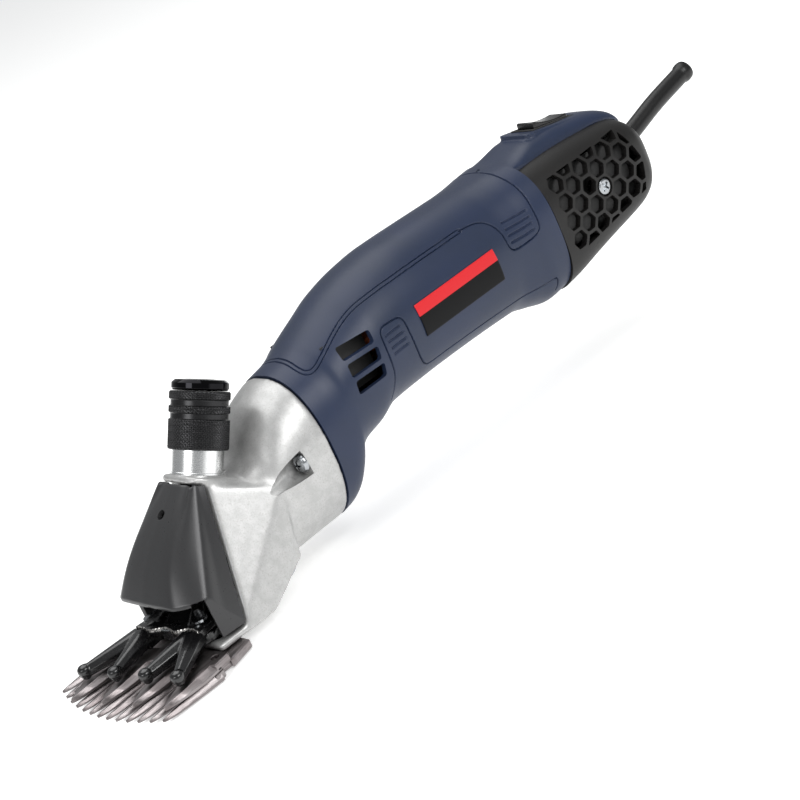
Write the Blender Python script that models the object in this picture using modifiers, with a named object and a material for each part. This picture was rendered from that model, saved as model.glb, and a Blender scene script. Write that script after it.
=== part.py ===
"""Electric sheep shears: motor grip, cast gear head, comb and cutter, with every moving piece on its axis.

Metres, +Z up. The comb's flat sole lies on Z = 0, the motor's axis runs along Y towards the rear, and
X is the tool's width. The origin is on the comb's sole, in front of its fixing screws.
"""

from math import copysign, cos, pi, radians, sin, tau

import bmesh
import bpy
from mathutils import Matrix, Vector

# Fits
GAP = 0.0003
RUNNING_GAP = 0.0006
SWING_GAP = 0.0015
MERGE = 0.00001

# Comb
COMB_TEETH = 13
COMB_PITCH = 0.0061
COMB_THICKNESS = 0.0036
COMB_TIP_Y = -0.0465
COMB_TIP_SAG = 0.0067
COMB_ROOT_Y = -0.016
COMB_ROOT_SAG = 0.0020
COMB_HEEL_Y = 0.008
COMB_HEEL_HALF = 0.032
COMB_NOTCH_X = 0.0342
COMB_SCREW_X = 0.021
COMB_SCREW_Y = 0.0025
COMB_SCREW_RADIUS = 0.0024
COMB_SCREW_HEAD_RADIUS = 0.0046
COMB_SCREW_HEAD = 0.0014

# Cutter and fork
FULCRUM_Y = 0.019
SWING_AT_REST = radians(9)
CUTTER_TEETH = 4
CUTTER_THICKNESS = 0.0032
CUTTER_TIP_REACH = 0.061
CUTTER_ROOT_REACH = 0.037
CUTTER_REAR_REACH = 0.0285
CUTTER_TOOTH_HALF = 0.0058
FINGER_REACH = 0.050
FINGER_BALL = 0.0024
YOKE_X = 0.014
YOKE_REACH = 0.021
YOKE_RADIUS = 0.006
YOKE_THICKNESS = 0.0034
YOKE_PIN_RADIUS = 0.0024
PLATE_REACH = 0.027
PLATE_HALF = 0.019
PLATE_THICKNESS = 0.0036
ARM_HALF = 0.006
ARM_REAR_REACH = 0.025
BLOCK_HALF = 0.0070
POST_RADIUS = 0.0030
POST_TOP_Z = 0.0205

# Crank and gears
MOTOR_Z = 0.062
GEAR_DROP = 0.022
GEAR_MODULE = 0.0011
PINION_TEETH = 8
GEAR_WIDTH = 0.006
GEAR_FRONT_Y = 0.0715
CRANK_SHAFT_RADIUS = 0.005
CRANK_DISC_RADIUS = 0.0085
CRANK_DISC_WIDTH = 0.0035
CRANK_PIN_RADIUS = 0.0022
ROLLER_RADIUS = 0.0043
ROLLER_WIDTH = 0.006
BEARING_WIDTH = 0.006
CRANK_BEARING_RADIUS = 0.011

# Gear head
BED_THICKNESS = 0.0032
BED_FRONT_Y = -0.003
HEAD_WALL = 0.003
FLANGE_Y = 0.079
FLANGE_HALF = 0.026
FLANGE_TOP_Z = 0.0735
FLANGE_BOTTOM_Z = 0.009
HEAD_SCREW_X = 0.0225
HEAD_SCREW_Y = 0.0665
HEAD_SCREW_Z = 0.0435

# Tension: the axis leans back from the vertical
TENSION_LEAN = radians(32)
KNOB_BASE = Vector((0, 0.0402, 0.0639))
KNOB_RADIUS = 0.0118
KNOB_LENGTH = 0.0225
KNOB_CAP_RADIUS = 0.0106
KNOB_CAP_LENGTH = 0.0042
NECK_RADIUS = 0.0100
NECK_EXPOSED = 0.0095
NECK_INSIDE = 0.010
SLEEVE_RADIUS = 0.0062
TENSION_PIN_RADIUS = 0.0026
CUP_DEPTH = 0.033

# Motor
FRONT_BEARING_Y = 0.0795
FAN_Y = 0.105
FAN_WIDTH = 0.008
FAN_RADIUS = 0.0155
CORE_Y = 0.130
CORE_LENGTH = 0.034
CORE_RADIUS = 0.0150
STATOR_BORE_GAP = 0.0006
COMMUTATOR_Y = 0.178
COMMUTATOR_LENGTH = 0.013
COMMUTATOR_RADIUS = 0.0100
REAR_BEARING_Y = 0.206
ARMATURE_SHAFT_RADIUS = 0.0038
MOTOR_BEARING_RADIUS = 0.0080

# Motor housing
HOUSING_WALL = 0.0026
GRIP_HALF = 0.028
HOUSING_REAR_Y = 0.220
TONGUE_REAR_Y = 0.286
TONGUE_HALF = 0.0155
TONGUE_UNDER_Z = 0.0860
SWITCH_Y = 0.256
SWITCH_LENGTH = 0.024
SWITCH_WIDTH = 0.014
ROCKER_TILT = radians(12)
VENT_COUNT = 3
VENT_PITCH = 0.0071
VENT_HEIGHT = 0.0050
VENT_Y = 0.0998
VENT_LENGTH = 0.0155
VENT_STAGGER = 0.0006
VENT_SLANT = 0.0010
VENT_Z = 0.0631
LABEL_LENGTH = 0.046
LABEL_HEIGHT = 0.014
LABEL_Y = 0.161
LABEL_Z = 0.0640
LABEL_THICKNESS = 0.0006

# Rear covers
COVER_HALF = 0.0290
COVER_WALL = 0.0026
COVER_REAR_Y = 0.286
HEX_PITCH = 0.00864
HEX_ACROSS = 0.0072
COVER_SCREW_Y = 0.2508
COVER_SCREW_Z = 0.0640

# Cord guard
GUARD_RADIUS = 0.0041
GUARD_BORE = 0.0030
GUARD_BEAD_RADIUS = 0.0047

TEAL_BLACK = (0.010, 0.010, 0.011)
NAVY = (0.050, 0.070, 0.125)
CAST = (0.66, 0.66, 0.66)
STEEL = (0.50, 0.49, 0.49)
DARK_STEEL = (0.12, 0.12, 0.12)
COPPER = (0.55, 0.22, 0.08)
BRASS = (0.62, 0.45, 0.15)
RED = (0.60, 0.02, 0.02)

COMB_TOP_Z = COMB_THICKNESS
BED_LOW_Z = COMB_TOP_Z + GAP
BED_TOP_Z = BED_LOW_Z + BED_THICKNESS
CUTTER_LOW_Z = COMB_TOP_Z + GAP
CUTTER_TOP_Z = CUTTER_LOW_Z + CUTTER_THICKNESS
YOKE_LOW_Z = CUTTER_TOP_Z + RUNNING_GAP
YOKE_TOP_Z = YOKE_LOW_Z + YOKE_THICKNESS
PLATE_LOW_Z = YOKE_TOP_Z + GAP
PLATE_TOP_Z = PLATE_LOW_Z + PLATE_THICKNESS
CRANK_Z = MOTOR_Z - GEAR_DROP
GEAR_TEETH = round(2 * GEAR_DROP / GEAR_MODULE) - PINION_TEETH
TENSION_AXIS = Vector((0, sin(TENSION_LEAN), cos(TENSION_LEAN)))
NECK_FOOT = KNOB_BASE - TENSION_AXIS * NECK_EXPOSED
BLOCK_FRONT_Y = FULCRUM_Y + ARM_REAR_REACH - 0.007
BLOCK_REAR_Y = FULCRUM_Y + ARM_REAR_REACH
ROLLER_FRONT_Y = BLOCK_REAR_Y + SWING_GAP
ROLLER_REAR_Y = ROLLER_FRONT_Y + ROLLER_WIDTH
CRANK_THROW = (ROLLER_FRONT_Y + ROLLER_WIDTH / 2 - FULCRUM_Y) * sin(SWING_AT_REST)
DISC_FRONT_Y = ROLLER_REAR_Y + GAP
CRANK_BEARING_Y = DISC_FRONT_Y + CRANK_DISC_WIDTH + 0.001

parts = None
cutters = None
materials = {}


# ---------------------------------------------------------------- scene helpers


def clear_scene():
    for item in list(bpy.data.objects):
        bpy.data.objects.remove(item, do_unlink=True)


def new_collection(name):
    made = bpy.data.collections.new(name)
    bpy.context.scene.collection.children.link(made)
    return made


def material(name, colour, roughness, metallic=0.0):
    if name not in materials:
        made = bpy.data.materials.new(name)
        made.use_nodes = True
        shader = made.node_tree.nodes["Principled BSDF"]
        shader.inputs["Base Color"].default_value = (*colour, 1)
        shader.inputs["Roughness"].default_value = roughness
        shader.inputs["Metallic"].default_value = metallic
        materials[name] = made
    return materials[name]


def black_paint():
    return material("black_paint", TEAL_BLACK, 0.35)


def black_plastic():
    return material("black_plastic", (0.045, 0.045, 0.046), 0.5)


def steel():
    return material("steel", STEEL, 0.3, 1.0)


def cast_aluminium():
    return material("cast_aluminium", CAST, 0.5, 0.9)


def add(name, data, finish=None, location=(0, 0, 0), turn=None, parent=None):
    """Adds an object; one with no finish is a cutter or another helper."""
    made = bpy.data.objects.new(name, data)
    (parts if finish else cutters).objects.link(made)
    if finish:
        data.materials.append(finish)
    else:
        made.hide_render = True
        made.display_type = "WIRE"
    made.parent = parent
    made.matrix_basis = Matrix.Translation(location) @ (turn or Matrix())
    return made


def empty(name, location, turn=None):
    made = bpy.data.objects.new(name, None)
    parts.objects.link(made)
    made.matrix_basis = Matrix.Translation(location) @ (turn or Matrix())
    return made


def mesh_of(name, shape):
    made = bpy.data.meshes.new(name)
    bmesh.ops.recalc_face_normals(shape, faces=shape.faces[:])
    shape.to_mesh(made)
    shape.free()
    return made


def smooth(obj, angle=35):
    obj.data.shade_smooth()
    obj.data.set_sharp_from_angle(angle=radians(angle))
    return obj


def towards(direction):
    """The turn that takes +Z to a direction."""
    return Vector(direction).to_track_quat("Z", "Y").to_matrix().to_4x4()


ALONG_Y = Matrix.Rotation(-pi / 2, 4, "X")
ALONG_X = Matrix.Rotation(pi / 2, 4, "Y")
ALONG_TENSION = Matrix.Rotation(-TENSION_LEAN, 4, "X")


# ---------------------------------------------------------------- shape helpers


def box(name, low, high, finish=None, parent=None, bevel=0.0):
    """A box between two corners, with its origin at its centre."""
    low = Vector(low)
    high = Vector(high)
    shape = bmesh.new()
    bmesh.ops.create_cube(shape, size=1.0)
    bmesh.ops.scale(shape, vec=high - low, verts=shape.verts)
    made = add(name, mesh_of(name, shape), finish, (low + high) / 2, parent=parent)
    if bevel:
        rounding = made.modifiers.new("rounding", "BEVEL")
        rounding.width = bevel
        rounding.segments = 2
    return made


def cylinder(name, radius, base, length, turn=None, finish=None, parent=None, top=None, sides=24):
    """A cylinder, or a cone with another top radius, from its base along the turned +Z."""
    shape = bmesh.new()
    bmesh.ops.create_cone(
        shape,
        cap_ends=True,
        segments=sides,
        radius1=radius,
        radius2=radius if top is None else top,
        depth=length,
    )
    bmesh.ops.translate(shape, verts=shape.verts, vec=(0, 0, length / 2))
    return smooth(add(name, mesh_of(name, shape), finish, base, turn, parent))


def ball(name, radius, centre, finish=None, parent=None, sides=16):
    shape = bmesh.new()
    bmesh.ops.create_uvsphere(shape, u_segments=sides, v_segments=sides // 2, radius=radius)
    return smooth(add(name, mesh_of(name, shape), finish, centre, parent=parent), 60)


def rod(name, start, end, start_radius, end_radius, finish=None, parent=None, sides=16):
    start = Vector(start)
    along = Vector(end) - start
    return cylinder(
        name, start_radius, start, along.length, towards(along), finish, parent, end_radius, sides
    )


def turned(name, profile, base, turn=None, finish=None, parent=None, steps=24):
    """A profile of (radius, height) pairs, down the outside and up the bore, turned about its own +Z."""
    shape = bmesh.new()
    verts = [shape.verts.new((radius, 0, height)) for radius, height in profile]
    for first, second in zip(verts, verts[1:]):
        shape.edges.new((first, second))
    if profile[0][0] > 0:
        shape.edges.new((verts[-1], verts[0]))
    data = bpy.data.meshes.new(name)
    shape.to_mesh(data)
    shape.free()
    made = add(name, data, finish, base, turn, parent)
    screw = made.modifiers.new("turning", "SCREW")
    screw.axis = "Z"
    screw.steps = steps
    screw.render_steps = steps
    screw.use_merge_vertices = True
    screw.merge_threshold = MERGE
    return made


def ring_profile(outer, inner, length):
    return [(outer, length), (outer, 0), (inner, 0), (inner, length)]


def plate(name, points, thickness, base, turn=None, finish=None, parent=None):
    """A flat outline given thickness along the turned +Z, from its base up."""
    curve = bpy.data.curves.new(name, "CURVE")
    curve.dimensions = "2D"
    curve.fill_mode = "BOTH"
    curve.extrude = thickness / 2
    line = curve.splines.new("POLY")
    line.points.add(len(points) - 1)
    for point, (x, y) in zip(line.points, points):
        point.co = (x, y, 0, 1)
    line.use_cyclic_u = True
    turn = turn or Matrix()
    lift = turn @ Vector((0, 0, thickness / 2))
    return meshed(add(name + "_outline", curve), name, finish, Vector(base) + lift, turn, parent)


def meshed(curve_object, name, finish, location, turn, parent):
    """The solid mesh of a curve, whose loose caps are welded."""
    graph = bpy.context.evaluated_depsgraph_get()
    data = bpy.data.meshes.new_from_object(curve_object.evaluated_get(graph))
    bpy.data.objects.remove(curve_object, do_unlink=True)
    data.name = name
    data.materials.clear()
    shape = bmesh.new()
    shape.from_mesh(data)
    bmesh.ops.remove_doubles(shape, verts=shape.verts, dist=MERGE)
    bmesh.ops.recalc_face_normals(shape, faces=shape.faces[:])
    shape.to_mesh(data)
    shape.free()
    return add(name, data, finish, location, turn, parent)


def tube_along(name, points, radius, finish=None, sides=3):
    """A round bar along a poly line, as a mesh."""
    curve = bpy.data.curves.new(name, "CURVE")
    curve.dimensions = "3D"
    curve.bevel_depth = radius
    curve.bevel_resolution = sides
    curve.use_fill_caps = True
    line = curve.splines.new("POLY")
    line.points.add(len(points) - 1)
    for point, place in zip(line.points, points):
        point.co = (*place, 1)
    return meshed(add(name + "_line", curve), name, finish, (0, 0, 0), Matrix(), None)


def loft(name, rings, finish=None):
    """A closed skin through rings of equal numbers of points, made by hand because the sections differ."""
    shape = bmesh.new()
    loops = [[shape.verts.new(point) for point in ring] for ring in rings]
    count = len(loops[0])
    for lower, upper in zip(loops, loops[1:]):
        for i in range(count):
            j = (i + 1) % count
            shape.faces.new((lower[i], lower[j], upper[j], upper[i]))
    shape.faces.new(loops[0])
    shape.faces.new(loops[-1])
    return smooth(add(name, mesh_of(name, shape), finish), 50)


def hull(name, half_points, finish=None):
    """The convex solid around points given on the +X side and mirrored to the other."""
    shape = bmesh.new()
    for x, y, z in half_points:
        shape.verts.new((x, y, z))
        shape.verts.new((-x, y, z))
    made = bmesh.ops.convex_hull(shape, input=shape.verts[:])
    bmesh.ops.delete(shape, geom=list(set(made["geom_interior"])), context="VERTS")
    bmesh.ops.dissolve_limit(shape, angle_limit=0.001, verts=shape.verts[:], edges=shape.edges[:])
    return add(name, mesh_of(name, shape), finish)


def section(y, half, top, bottom, corner, corner_steps=4):
    """A rounded rectangle across Y, as points around its edge."""
    corner = min(corner, half - 0.0001, (top - bottom) / 2 - 0.0001)
    points = []
    for quarter, (x, z) in enumerate(
        (
            (half - corner, top - corner),
            (corner - half, top - corner),
            (corner - half, bottom + corner),
            (half - corner, bottom + corner),
        )
    ):
        for step in range(corner_steps + 1):
            angle = (quarter + step / corner_steps) * pi / 2
            points.append((x + corner * cos(angle), y, z + corner * sin(angle)))
    return points


def combine(target, other, operation):
    change = target.modifiers.new(other.name, "BOOLEAN")
    change.operation = operation
    change.solver = "EXACT"
    change.object = other
    return target


def cut(target, *others):
    for other in others:
        combine(target, other, "DIFFERENCE")
    return target


def join(target, *others):
    for other in others:
        combine(target, other, "UNION")
    return target


# ---------------------------------------------------------------- comb and cutter


def comb_outline():
    """Round the comb: its heel, then tooth after tooth from +X to -X, with tips on a forward arc."""
    root_half = COMB_PITCH * 0.36
    neck_half = COMB_PITCH * 0.25
    last = (COMB_TEETH - 1) / 2
    points = [(COMB_HEEL_HALF, COMB_HEEL_Y)]

    def root(x):
        return (x, COMB_ROOT_Y + COMB_ROOT_SAG * (x / (last * COMB_PITCH)) ** 2)

    for tooth in range(COMB_TEETH):
        place = last - tooth
        x = place * COMB_PITCH
        tip_y = COMB_TIP_Y + COMB_TIP_SAG * (place / last) ** 2
        points.append(root(x + root_half))
        points.append((x + neck_half, tip_y + 0.005))
        points.append((x, tip_y))
        points.append((x - neck_half, tip_y + 0.005))
        points.append(root(x - root_half))
    points.append((-COMB_HEEL_HALF, COMB_HEEL_Y))
    return points


def taper_comb_teeth(comb):
    """Thins each tooth towards its tip, from above and, more gently, from below."""
    for vert in comb.data.vertices:
        along = (COMB_ROOT_Y - vert.co.y) / (COMB_ROOT_Y - COMB_TIP_Y)
        if along > 0.01:
            top = COMB_THICKNESS * (1 - 0.42 * along)
            bottom = COMB_THICKNESS * 0.25 * along**3
            vert.co.z = (top if vert.co.z > 0 else bottom) - COMB_THICKNESS / 2


def slot_outline(x, half, rear):
    """A slot round the screw's place, with a round front end and open behind."""
    arc = [(x - half * cos(pi * i / 8), COMB_SCREW_Y - half * sin(pi * i / 8)) for i in range(9)]
    return arc + [(x + half, rear), (x - half, rear)]


def build_comb():
    comb = plate("comb", comb_outline(), COMB_THICKNESS, (0, 0, 0), finish=steel())
    taper_comb_teeth(comb)
    rear = COMB_HEEL_Y + 0.001
    recess_top = COMB_SCREW_HEAD + 2 * GAP
    for side, name in ((-1, "left"), (1, "right")):
        x = side * COMB_SCREW_X
        slot = plate(
            "comb_slot_" + name,
            slot_outline(x, COMB_SCREW_RADIUS + GAP, rear),
            COMB_THICKNESS + 0.002,
            (0, 0, -0.001),
        )
        recess = plate(
            "comb_recess_" + name,
            slot_outline(x, COMB_SCREW_HEAD_RADIUS + GAP, rear),
            recess_top + 0.001,
            (0, 0, -0.001),
        )
        ends = sorted((side * COMB_NOTCH_X, side * (COMB_NOTCH_X + 0.01)))
        notch = box(
            "comb_notch_" + name, (ends[0], -0.0095, -0.001), (ends[1], -0.0045, COMB_THICKNESS + 0.001)
        )
        cut(comb, slot, recess, notch)


def build_comb_screws():
    length = BED_TOP_Z - COMB_SCREW_HEAD - 2 * GAP
    for side, name in ((-1, "left"), (1, "right")):
        place = (side * COMB_SCREW_X, COMB_SCREW_Y, GAP)
        shank = COMB_SCREW_HEAD + length
        profile = [
            (0, shank),
            (COMB_SCREW_RADIUS, shank),
            (COMB_SCREW_RADIUS, COMB_SCREW_HEAD),
            (COMB_SCREW_HEAD_RADIUS, COMB_SCREW_HEAD),
            (COMB_SCREW_HEAD_RADIUS, 0.0003),
            (COMB_SCREW_HEAD_RADIUS - 0.0004, 0),
            (0, 0),
        ]
        screw = turned("comb_screw_" + name, profile, place, finish=steel(), steps=20)
        x, y, z = place
        cut(
            screw,
            box(
                "comb_screw_slot_" + name,
                (x - 0.006, y - 0.0006, z - 0.001),
                (x + 0.006, y + 0.0006, z + 0.0006),
            ),
        )


def cutter_outline():
    """Round the cutter, with the fulcrum at the origin: the rear bar, then four pointed leaf-shaped teeth."""
    pitch = 3 * COMB_PITCH
    half = CUTTER_TOOTH_HALF
    outer = (CUTTER_TEETH - 1) / 2 * pitch
    points = [(outer + half - 0.001, -CUTTER_REAR_REACH)]
    for tooth in range(CUTTER_TEETH):
        x = outer - tooth * pitch
        reach = CUTTER_TIP_REACH - CUTTER_ROOT_REACH
        shoulders = [(half, 0.30), (0.84 * half, 0.52), (0.52 * half, 0.78), (0.0, 1.0)]
        points.append((x + half, -CUTTER_ROOT_REACH + 0.0015 * ((x + half) / outer) ** 2))
        points.extend((x + w, -CUTTER_ROOT_REACH - reach * t) for w, t in shoulders)
        points.extend((x - w, -CUTTER_ROOT_REACH - reach * t) for w, t in reversed(shoulders[:-1]))
        points.append((x - half, -CUTTER_ROOT_REACH + 0.0015 * ((x - half) / outer) ** 2))
    points.append((-outer - half + 0.001, -CUTTER_REAR_REACH))
    return points


def finger_places():
    pitch = 3 * COMB_PITCH
    return [(i - (CUTTER_TEETH - 1) / 2) * pitch for i in range(CUTTER_TEETH)]


def build_cutter(pivot):
    """The cutter swings on the fork, so it hangs from the fulcrum's empty."""
    cutter = plate(
        "cutter", cutter_outline(), CUTTER_THICKNESS, (0, 0, CUTTER_LOW_Z), finish=steel(), parent=pivot
    )
    for i, x in enumerate(finger_places()):
        dimple = cylinder(
            f"cutter_dimple_{i}",
            0.0021,
            (x, -FINGER_REACH, CUTTER_TOP_Z - 0.0009),
            0.002,
            parent=pivot,
            sides=16,
        )
        cut(cutter, dimple)
    for side in (-1, 1):
        hole = cylinder(
            f"cutter_hole_{side}", 0.0017, (side * 0.0285, -0.0325, 0), 0.02, parent=pivot, sides=16
        )
        cut(cutter, hole)


# ---------------------------------------------------------------- fork


def fork_arm_outline():
    """The fork's side view in (Y from the fulcrum, Z): root, hub under the tension cup, raised arm."""
    rear = ARM_REAR_REACH
    front = BLOCK_FRONT_Y - FULCRUM_Y
    return [
        (-0.024, PLATE_LOW_Z),
        (0.008, PLATE_LOW_Z),
        (0.013, 0.027),
        (front, CRANK_Z - BLOCK_HALF),
        (rear, CRANK_Z - BLOCK_HALF),
        (rear, CRANK_Z + BLOCK_HALF),
        (front, CRANK_Z + BLOCK_HALF),
        (front - 0.002, CRANK_Z - 0.0015),
        (0.0095, 0.0335),
        (0.0005, 0.0385),
        (-0.0055, 0.0290),
        (-0.0120, PLATE_TOP_Z),
        (-0.024, PLATE_TOP_Z),
    ]


def build_fork_body(pivot):
    across = Matrix(((0, 0, 1, 0), (1, 0, 0, 0), (0, 1, 0, 0), (0, 0, 0, 1)))
    body = plate(
        "fork_body", fork_arm_outline(), 2 * ARM_HALF, (-ARM_HALF, 0, 0), across, black_paint(), pivot
    )
    wide = PLATE_HALF
    front = [
        (wide, -PLATE_REACH),
        (wide, -PLATE_REACH + 0.008),
        (0.009, -0.006),
        (-0.009, -0.006),
        (-wide, -PLATE_REACH + 0.008),
        (-wide, -PLATE_REACH),
        (-0.008, -PLATE_REACH + 0.0015),
        (0.008, -PLATE_REACH + 0.0015),
    ]
    join(body, plate("fork_plate", front, PLATE_THICKNESS, (0, 0, PLATE_LOW_Z), parent=pivot))
    block_half = ROLLER_RADIUS + 0.0042
    low = CRANK_Z - BLOCK_HALF
    high = CRANK_Z + BLOCK_HALF
    front_y = BLOCK_FRONT_Y - FULCRUM_Y
    join(
        body,
        box(
            "fork_block",
            (-block_half, front_y + 0.0003, low + 0.0003),
            (block_half, ARM_REAR_REACH - 0.0002, high - 0.0003),
            parent=pivot,
        ),
    )
    slot_half = ROLLER_RADIUS + 0.0004
    slot = box(
        "fork_slot",
        (-slot_half, ARM_REAR_REACH - 0.0045, low - 0.002),
        (slot_half, ARM_REAR_REACH + 0.002, high + 0.002),
        parent=pivot,
    )
    socket = cylinder(
        "fork_socket", POST_RADIUS + 0.0009, (0, 0, 0), POST_TOP_Z + 0.001, parent=pivot, sides=24
    )
    cut(body, slot, socket)
    for side in (-1, 1):
        hole = cylinder(
            f"fork_pin_hole_{side}",
            YOKE_PIN_RADIUS + GAP,
            (side * YOKE_X, -YOKE_REACH, 0.005),
            0.02,
            parent=pivot,
            sides=20,
        )
        cut(body, hole)
    return body


def cup_place():
    return KNOB_BASE - TENSION_AXIS * CUP_DEPTH


def build_cup(body, pivot):
    """The hardened cup in the fork's back that the tension pin presses; both lean with the tension axis."""
    local = cup_place() - Vector((0, FULCRUM_Y, 0))
    seat = cylinder(
        "cup_seat", 0.0034 + GAP, local - TENSION_AXIS * 0.0035, 0.02, ALONG_TENSION, parent=pivot, sides=24
    )
    cut(body, seat)
    profile = [(0.0018, 0.0032), (0.0034, 0.0032), (0.0034, 0.0), (0, 0), (0, 0.0018)]
    base = local - TENSION_AXIS * (0.0035 - GAP)
    turned("pin_cup", [(0, 0.0020)] + profile[0:1] + profile[1:4], base, ALONG_TENSION, steel(), pivot, 24)


def build_yoke(side, name, pivot):
    """A rocking yoke: a flat hub below the fork's plate and two tapered fingers that end in balls."""
    x = side * YOKE_X
    y = -YOKE_REACH
    hub = cylinder(
        "fork_yoke_" + name,
        YOKE_RADIUS,
        (x, y, YOKE_LOW_Z),
        YOKE_THICKNESS,
        finish=black_paint(),
        parent=pivot,
        sides=28,
    )
    front = -PLATE_REACH - 0.0012
    ball_z = CUTTER_TOP_Z + GAP + FINGER_BALL
    root_z = ball_z + 0.0019
    neck = box(
        "yoke_neck_" + name,
        (x - 0.0050, front - 0.003, YOKE_LOW_Z + 0.0002),
        (x + 0.0050, y, YOKE_TOP_Z - 0.0002),
        parent=pivot,
    )
    join(hub, neck)
    for place in finger_places():
        if place * side > 0:
            start = (x + (place - x) * 0.12, front - 0.0022, root_z)
            end = (place, -FINGER_REACH, ball_z)
            finger = rod(
                f"yoke_finger_{place:.3f}", start, end, 0.0033, FINGER_BALL * 0.86, parent=pivot, sides=12
            )
            tip = ball(f"yoke_ball_{place:.3f}", FINGER_BALL, end, parent=pivot, sides=12)
            join(hub, finger, tip)
    bore = cylinder("yoke_bore_" + name, YOKE_PIN_RADIUS + GAP, (x, y, 0.005), 0.02, parent=pivot, sides=20)
    cut(hub, bore)
    profile = [
        (0, PLATE_TOP_Z + 0.0016),
        (YOKE_PIN_RADIUS + 0.0010, PLATE_TOP_Z + 0.0012),
        (YOKE_PIN_RADIUS + 0.0010, PLATE_TOP_Z + GAP),
        (YOKE_PIN_RADIUS, PLATE_TOP_Z + GAP),
        (YOKE_PIN_RADIUS, YOKE_LOW_Z),
        (0, YOKE_LOW_Z),
    ]
    turned("yoke_pin_" + name, profile, (x, y, 0), finish=steel(), parent=pivot, steps=20)


def build_fork():
    pivot = empty("fork_pivot", (0, FULCRUM_Y, 0), Matrix.Rotation(SWING_AT_REST, 4, "Z"))
    build_cutter(pivot)
    body = build_fork_body(pivot)
    build_cup(body, pivot)
    build_yoke(-1, "left", pivot)
    build_yoke(1, "right", pivot)
    reach = PLATE_REACH + GAP
    clip = box(
        "fork_clip",
        (-0.0035, -reach - 0.0015, PLATE_LOW_Z - 0.002),
        (0.0035, -reach, PLATE_TOP_Z - 0.0006),
        steel(),
        pivot,
        0.0004,
    )
    clip.location.y += 0.0015
    profile = [
        (0, POST_TOP_Z),
        (POST_RADIUS * 0.7, POST_TOP_Z - 0.0008),
        (POST_RADIUS, POST_TOP_Z - 0.003),
        (POST_RADIUS, BED_TOP_Z + 0.0018 + GAP),
        (POST_RADIUS + 0.0022, BED_TOP_Z + 0.0018 + GAP),
        (POST_RADIUS + 0.0022, BED_TOP_Z + GAP),
        (POST_RADIUS, BED_TOP_Z + GAP),
        (POST_RADIUS, BED_LOW_Z),
        (0, BED_LOW_Z),
    ]
    turned("fulcrum_post", profile, (0, FULCRUM_Y, 0), finish=steel(), steps=24)


# ---------------------------------------------------------------- crank and gears


def gear_outline(teeth, start):
    """Straight-flanked teeth with backlash, the first one centred on the start angle."""
    radius = GEAR_MODULE * teeth / 2
    pitch = tau / teeth
    flanks = ((-1.2, 0.27), (0.8, 0.11))
    points = []
    for tooth in range(teeth):
        middle = start + tooth * pitch
        for height, width in flanks:
            points.append((radius + height * GEAR_MODULE, middle - width * pitch))
        for height, width in reversed(flanks):
            points.append((radius + height * GEAR_MODULE, middle + width * pitch))
    return [(r * cos(angle), r * sin(angle)) for r, angle in points]


def build_crank():
    """The driven gear, its shaft and the eccentric roller that rocks the fork."""
    centre = Vector((0, 0, CRANK_Z))
    shaft = cylinder(
        "crank_shaft",
        CRANK_SHAFT_RADIUS,
        centre + Vector((0, DISC_FRONT_Y + 0.001, 0)),
        GEAR_FRONT_Y + GEAR_WIDTH + 0.0075 - DISC_FRONT_Y - 0.001,
        ALONG_Y,
        steel(),
    )
    disc = cylinder(
        "crank_disc", CRANK_DISC_RADIUS, centre + Vector((0, DISC_FRONT_Y, 0)), CRANK_DISC_WIDTH, ALONG_Y
    )
    off = Vector((-CRANK_THROW, 0, 0))
    pin = cylinder(
        "crank_pin",
        CRANK_PIN_RADIUS,
        centre + off + Vector((0, ROLLER_FRONT_Y + 0.0004, 0)),
        ROLLER_WIDTH + 0.001,
        ALONG_Y,
        sides=20,
    )
    join(shaft, disc, pin)
    roller = ring_profile(ROLLER_RADIUS, CRANK_PIN_RADIUS + GAP, ROLLER_WIDTH)
    turned("crank_roller", roller, centre + off + Vector((0, ROLLER_FRONT_Y, 0)), ALONG_Y, steel(), steps=24)
    # ALONG_Y takes the outline's +Y to -Z, so the tooth that meets the pinion starts at -90 degrees.
    gear = plate(
        "driven_gear",
        gear_outline(GEAR_TEETH, -pi / 2),
        GEAR_WIDTH,
        centre + Vector((0, GEAR_FRONT_Y, 0)),
        ALONG_Y,
        steel(),
    )
    bore = cylinder(
        "gear_bore",
        CRANK_SHAFT_RADIUS + GAP,
        centre + Vector((0, GEAR_FRONT_Y - 0.001, 0)),
        GEAR_WIDTH + 0.002,
        ALONG_Y,
    )
    cut(gear, bore)
    bearing = ring_profile(CRANK_BEARING_RADIUS, CRANK_SHAFT_RADIUS + GAP, BEARING_WIDTH)
    turned("crank_bearing_front", bearing, centre + Vector((0, CRANK_BEARING_Y, 0)), ALONG_Y, steel())


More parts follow.
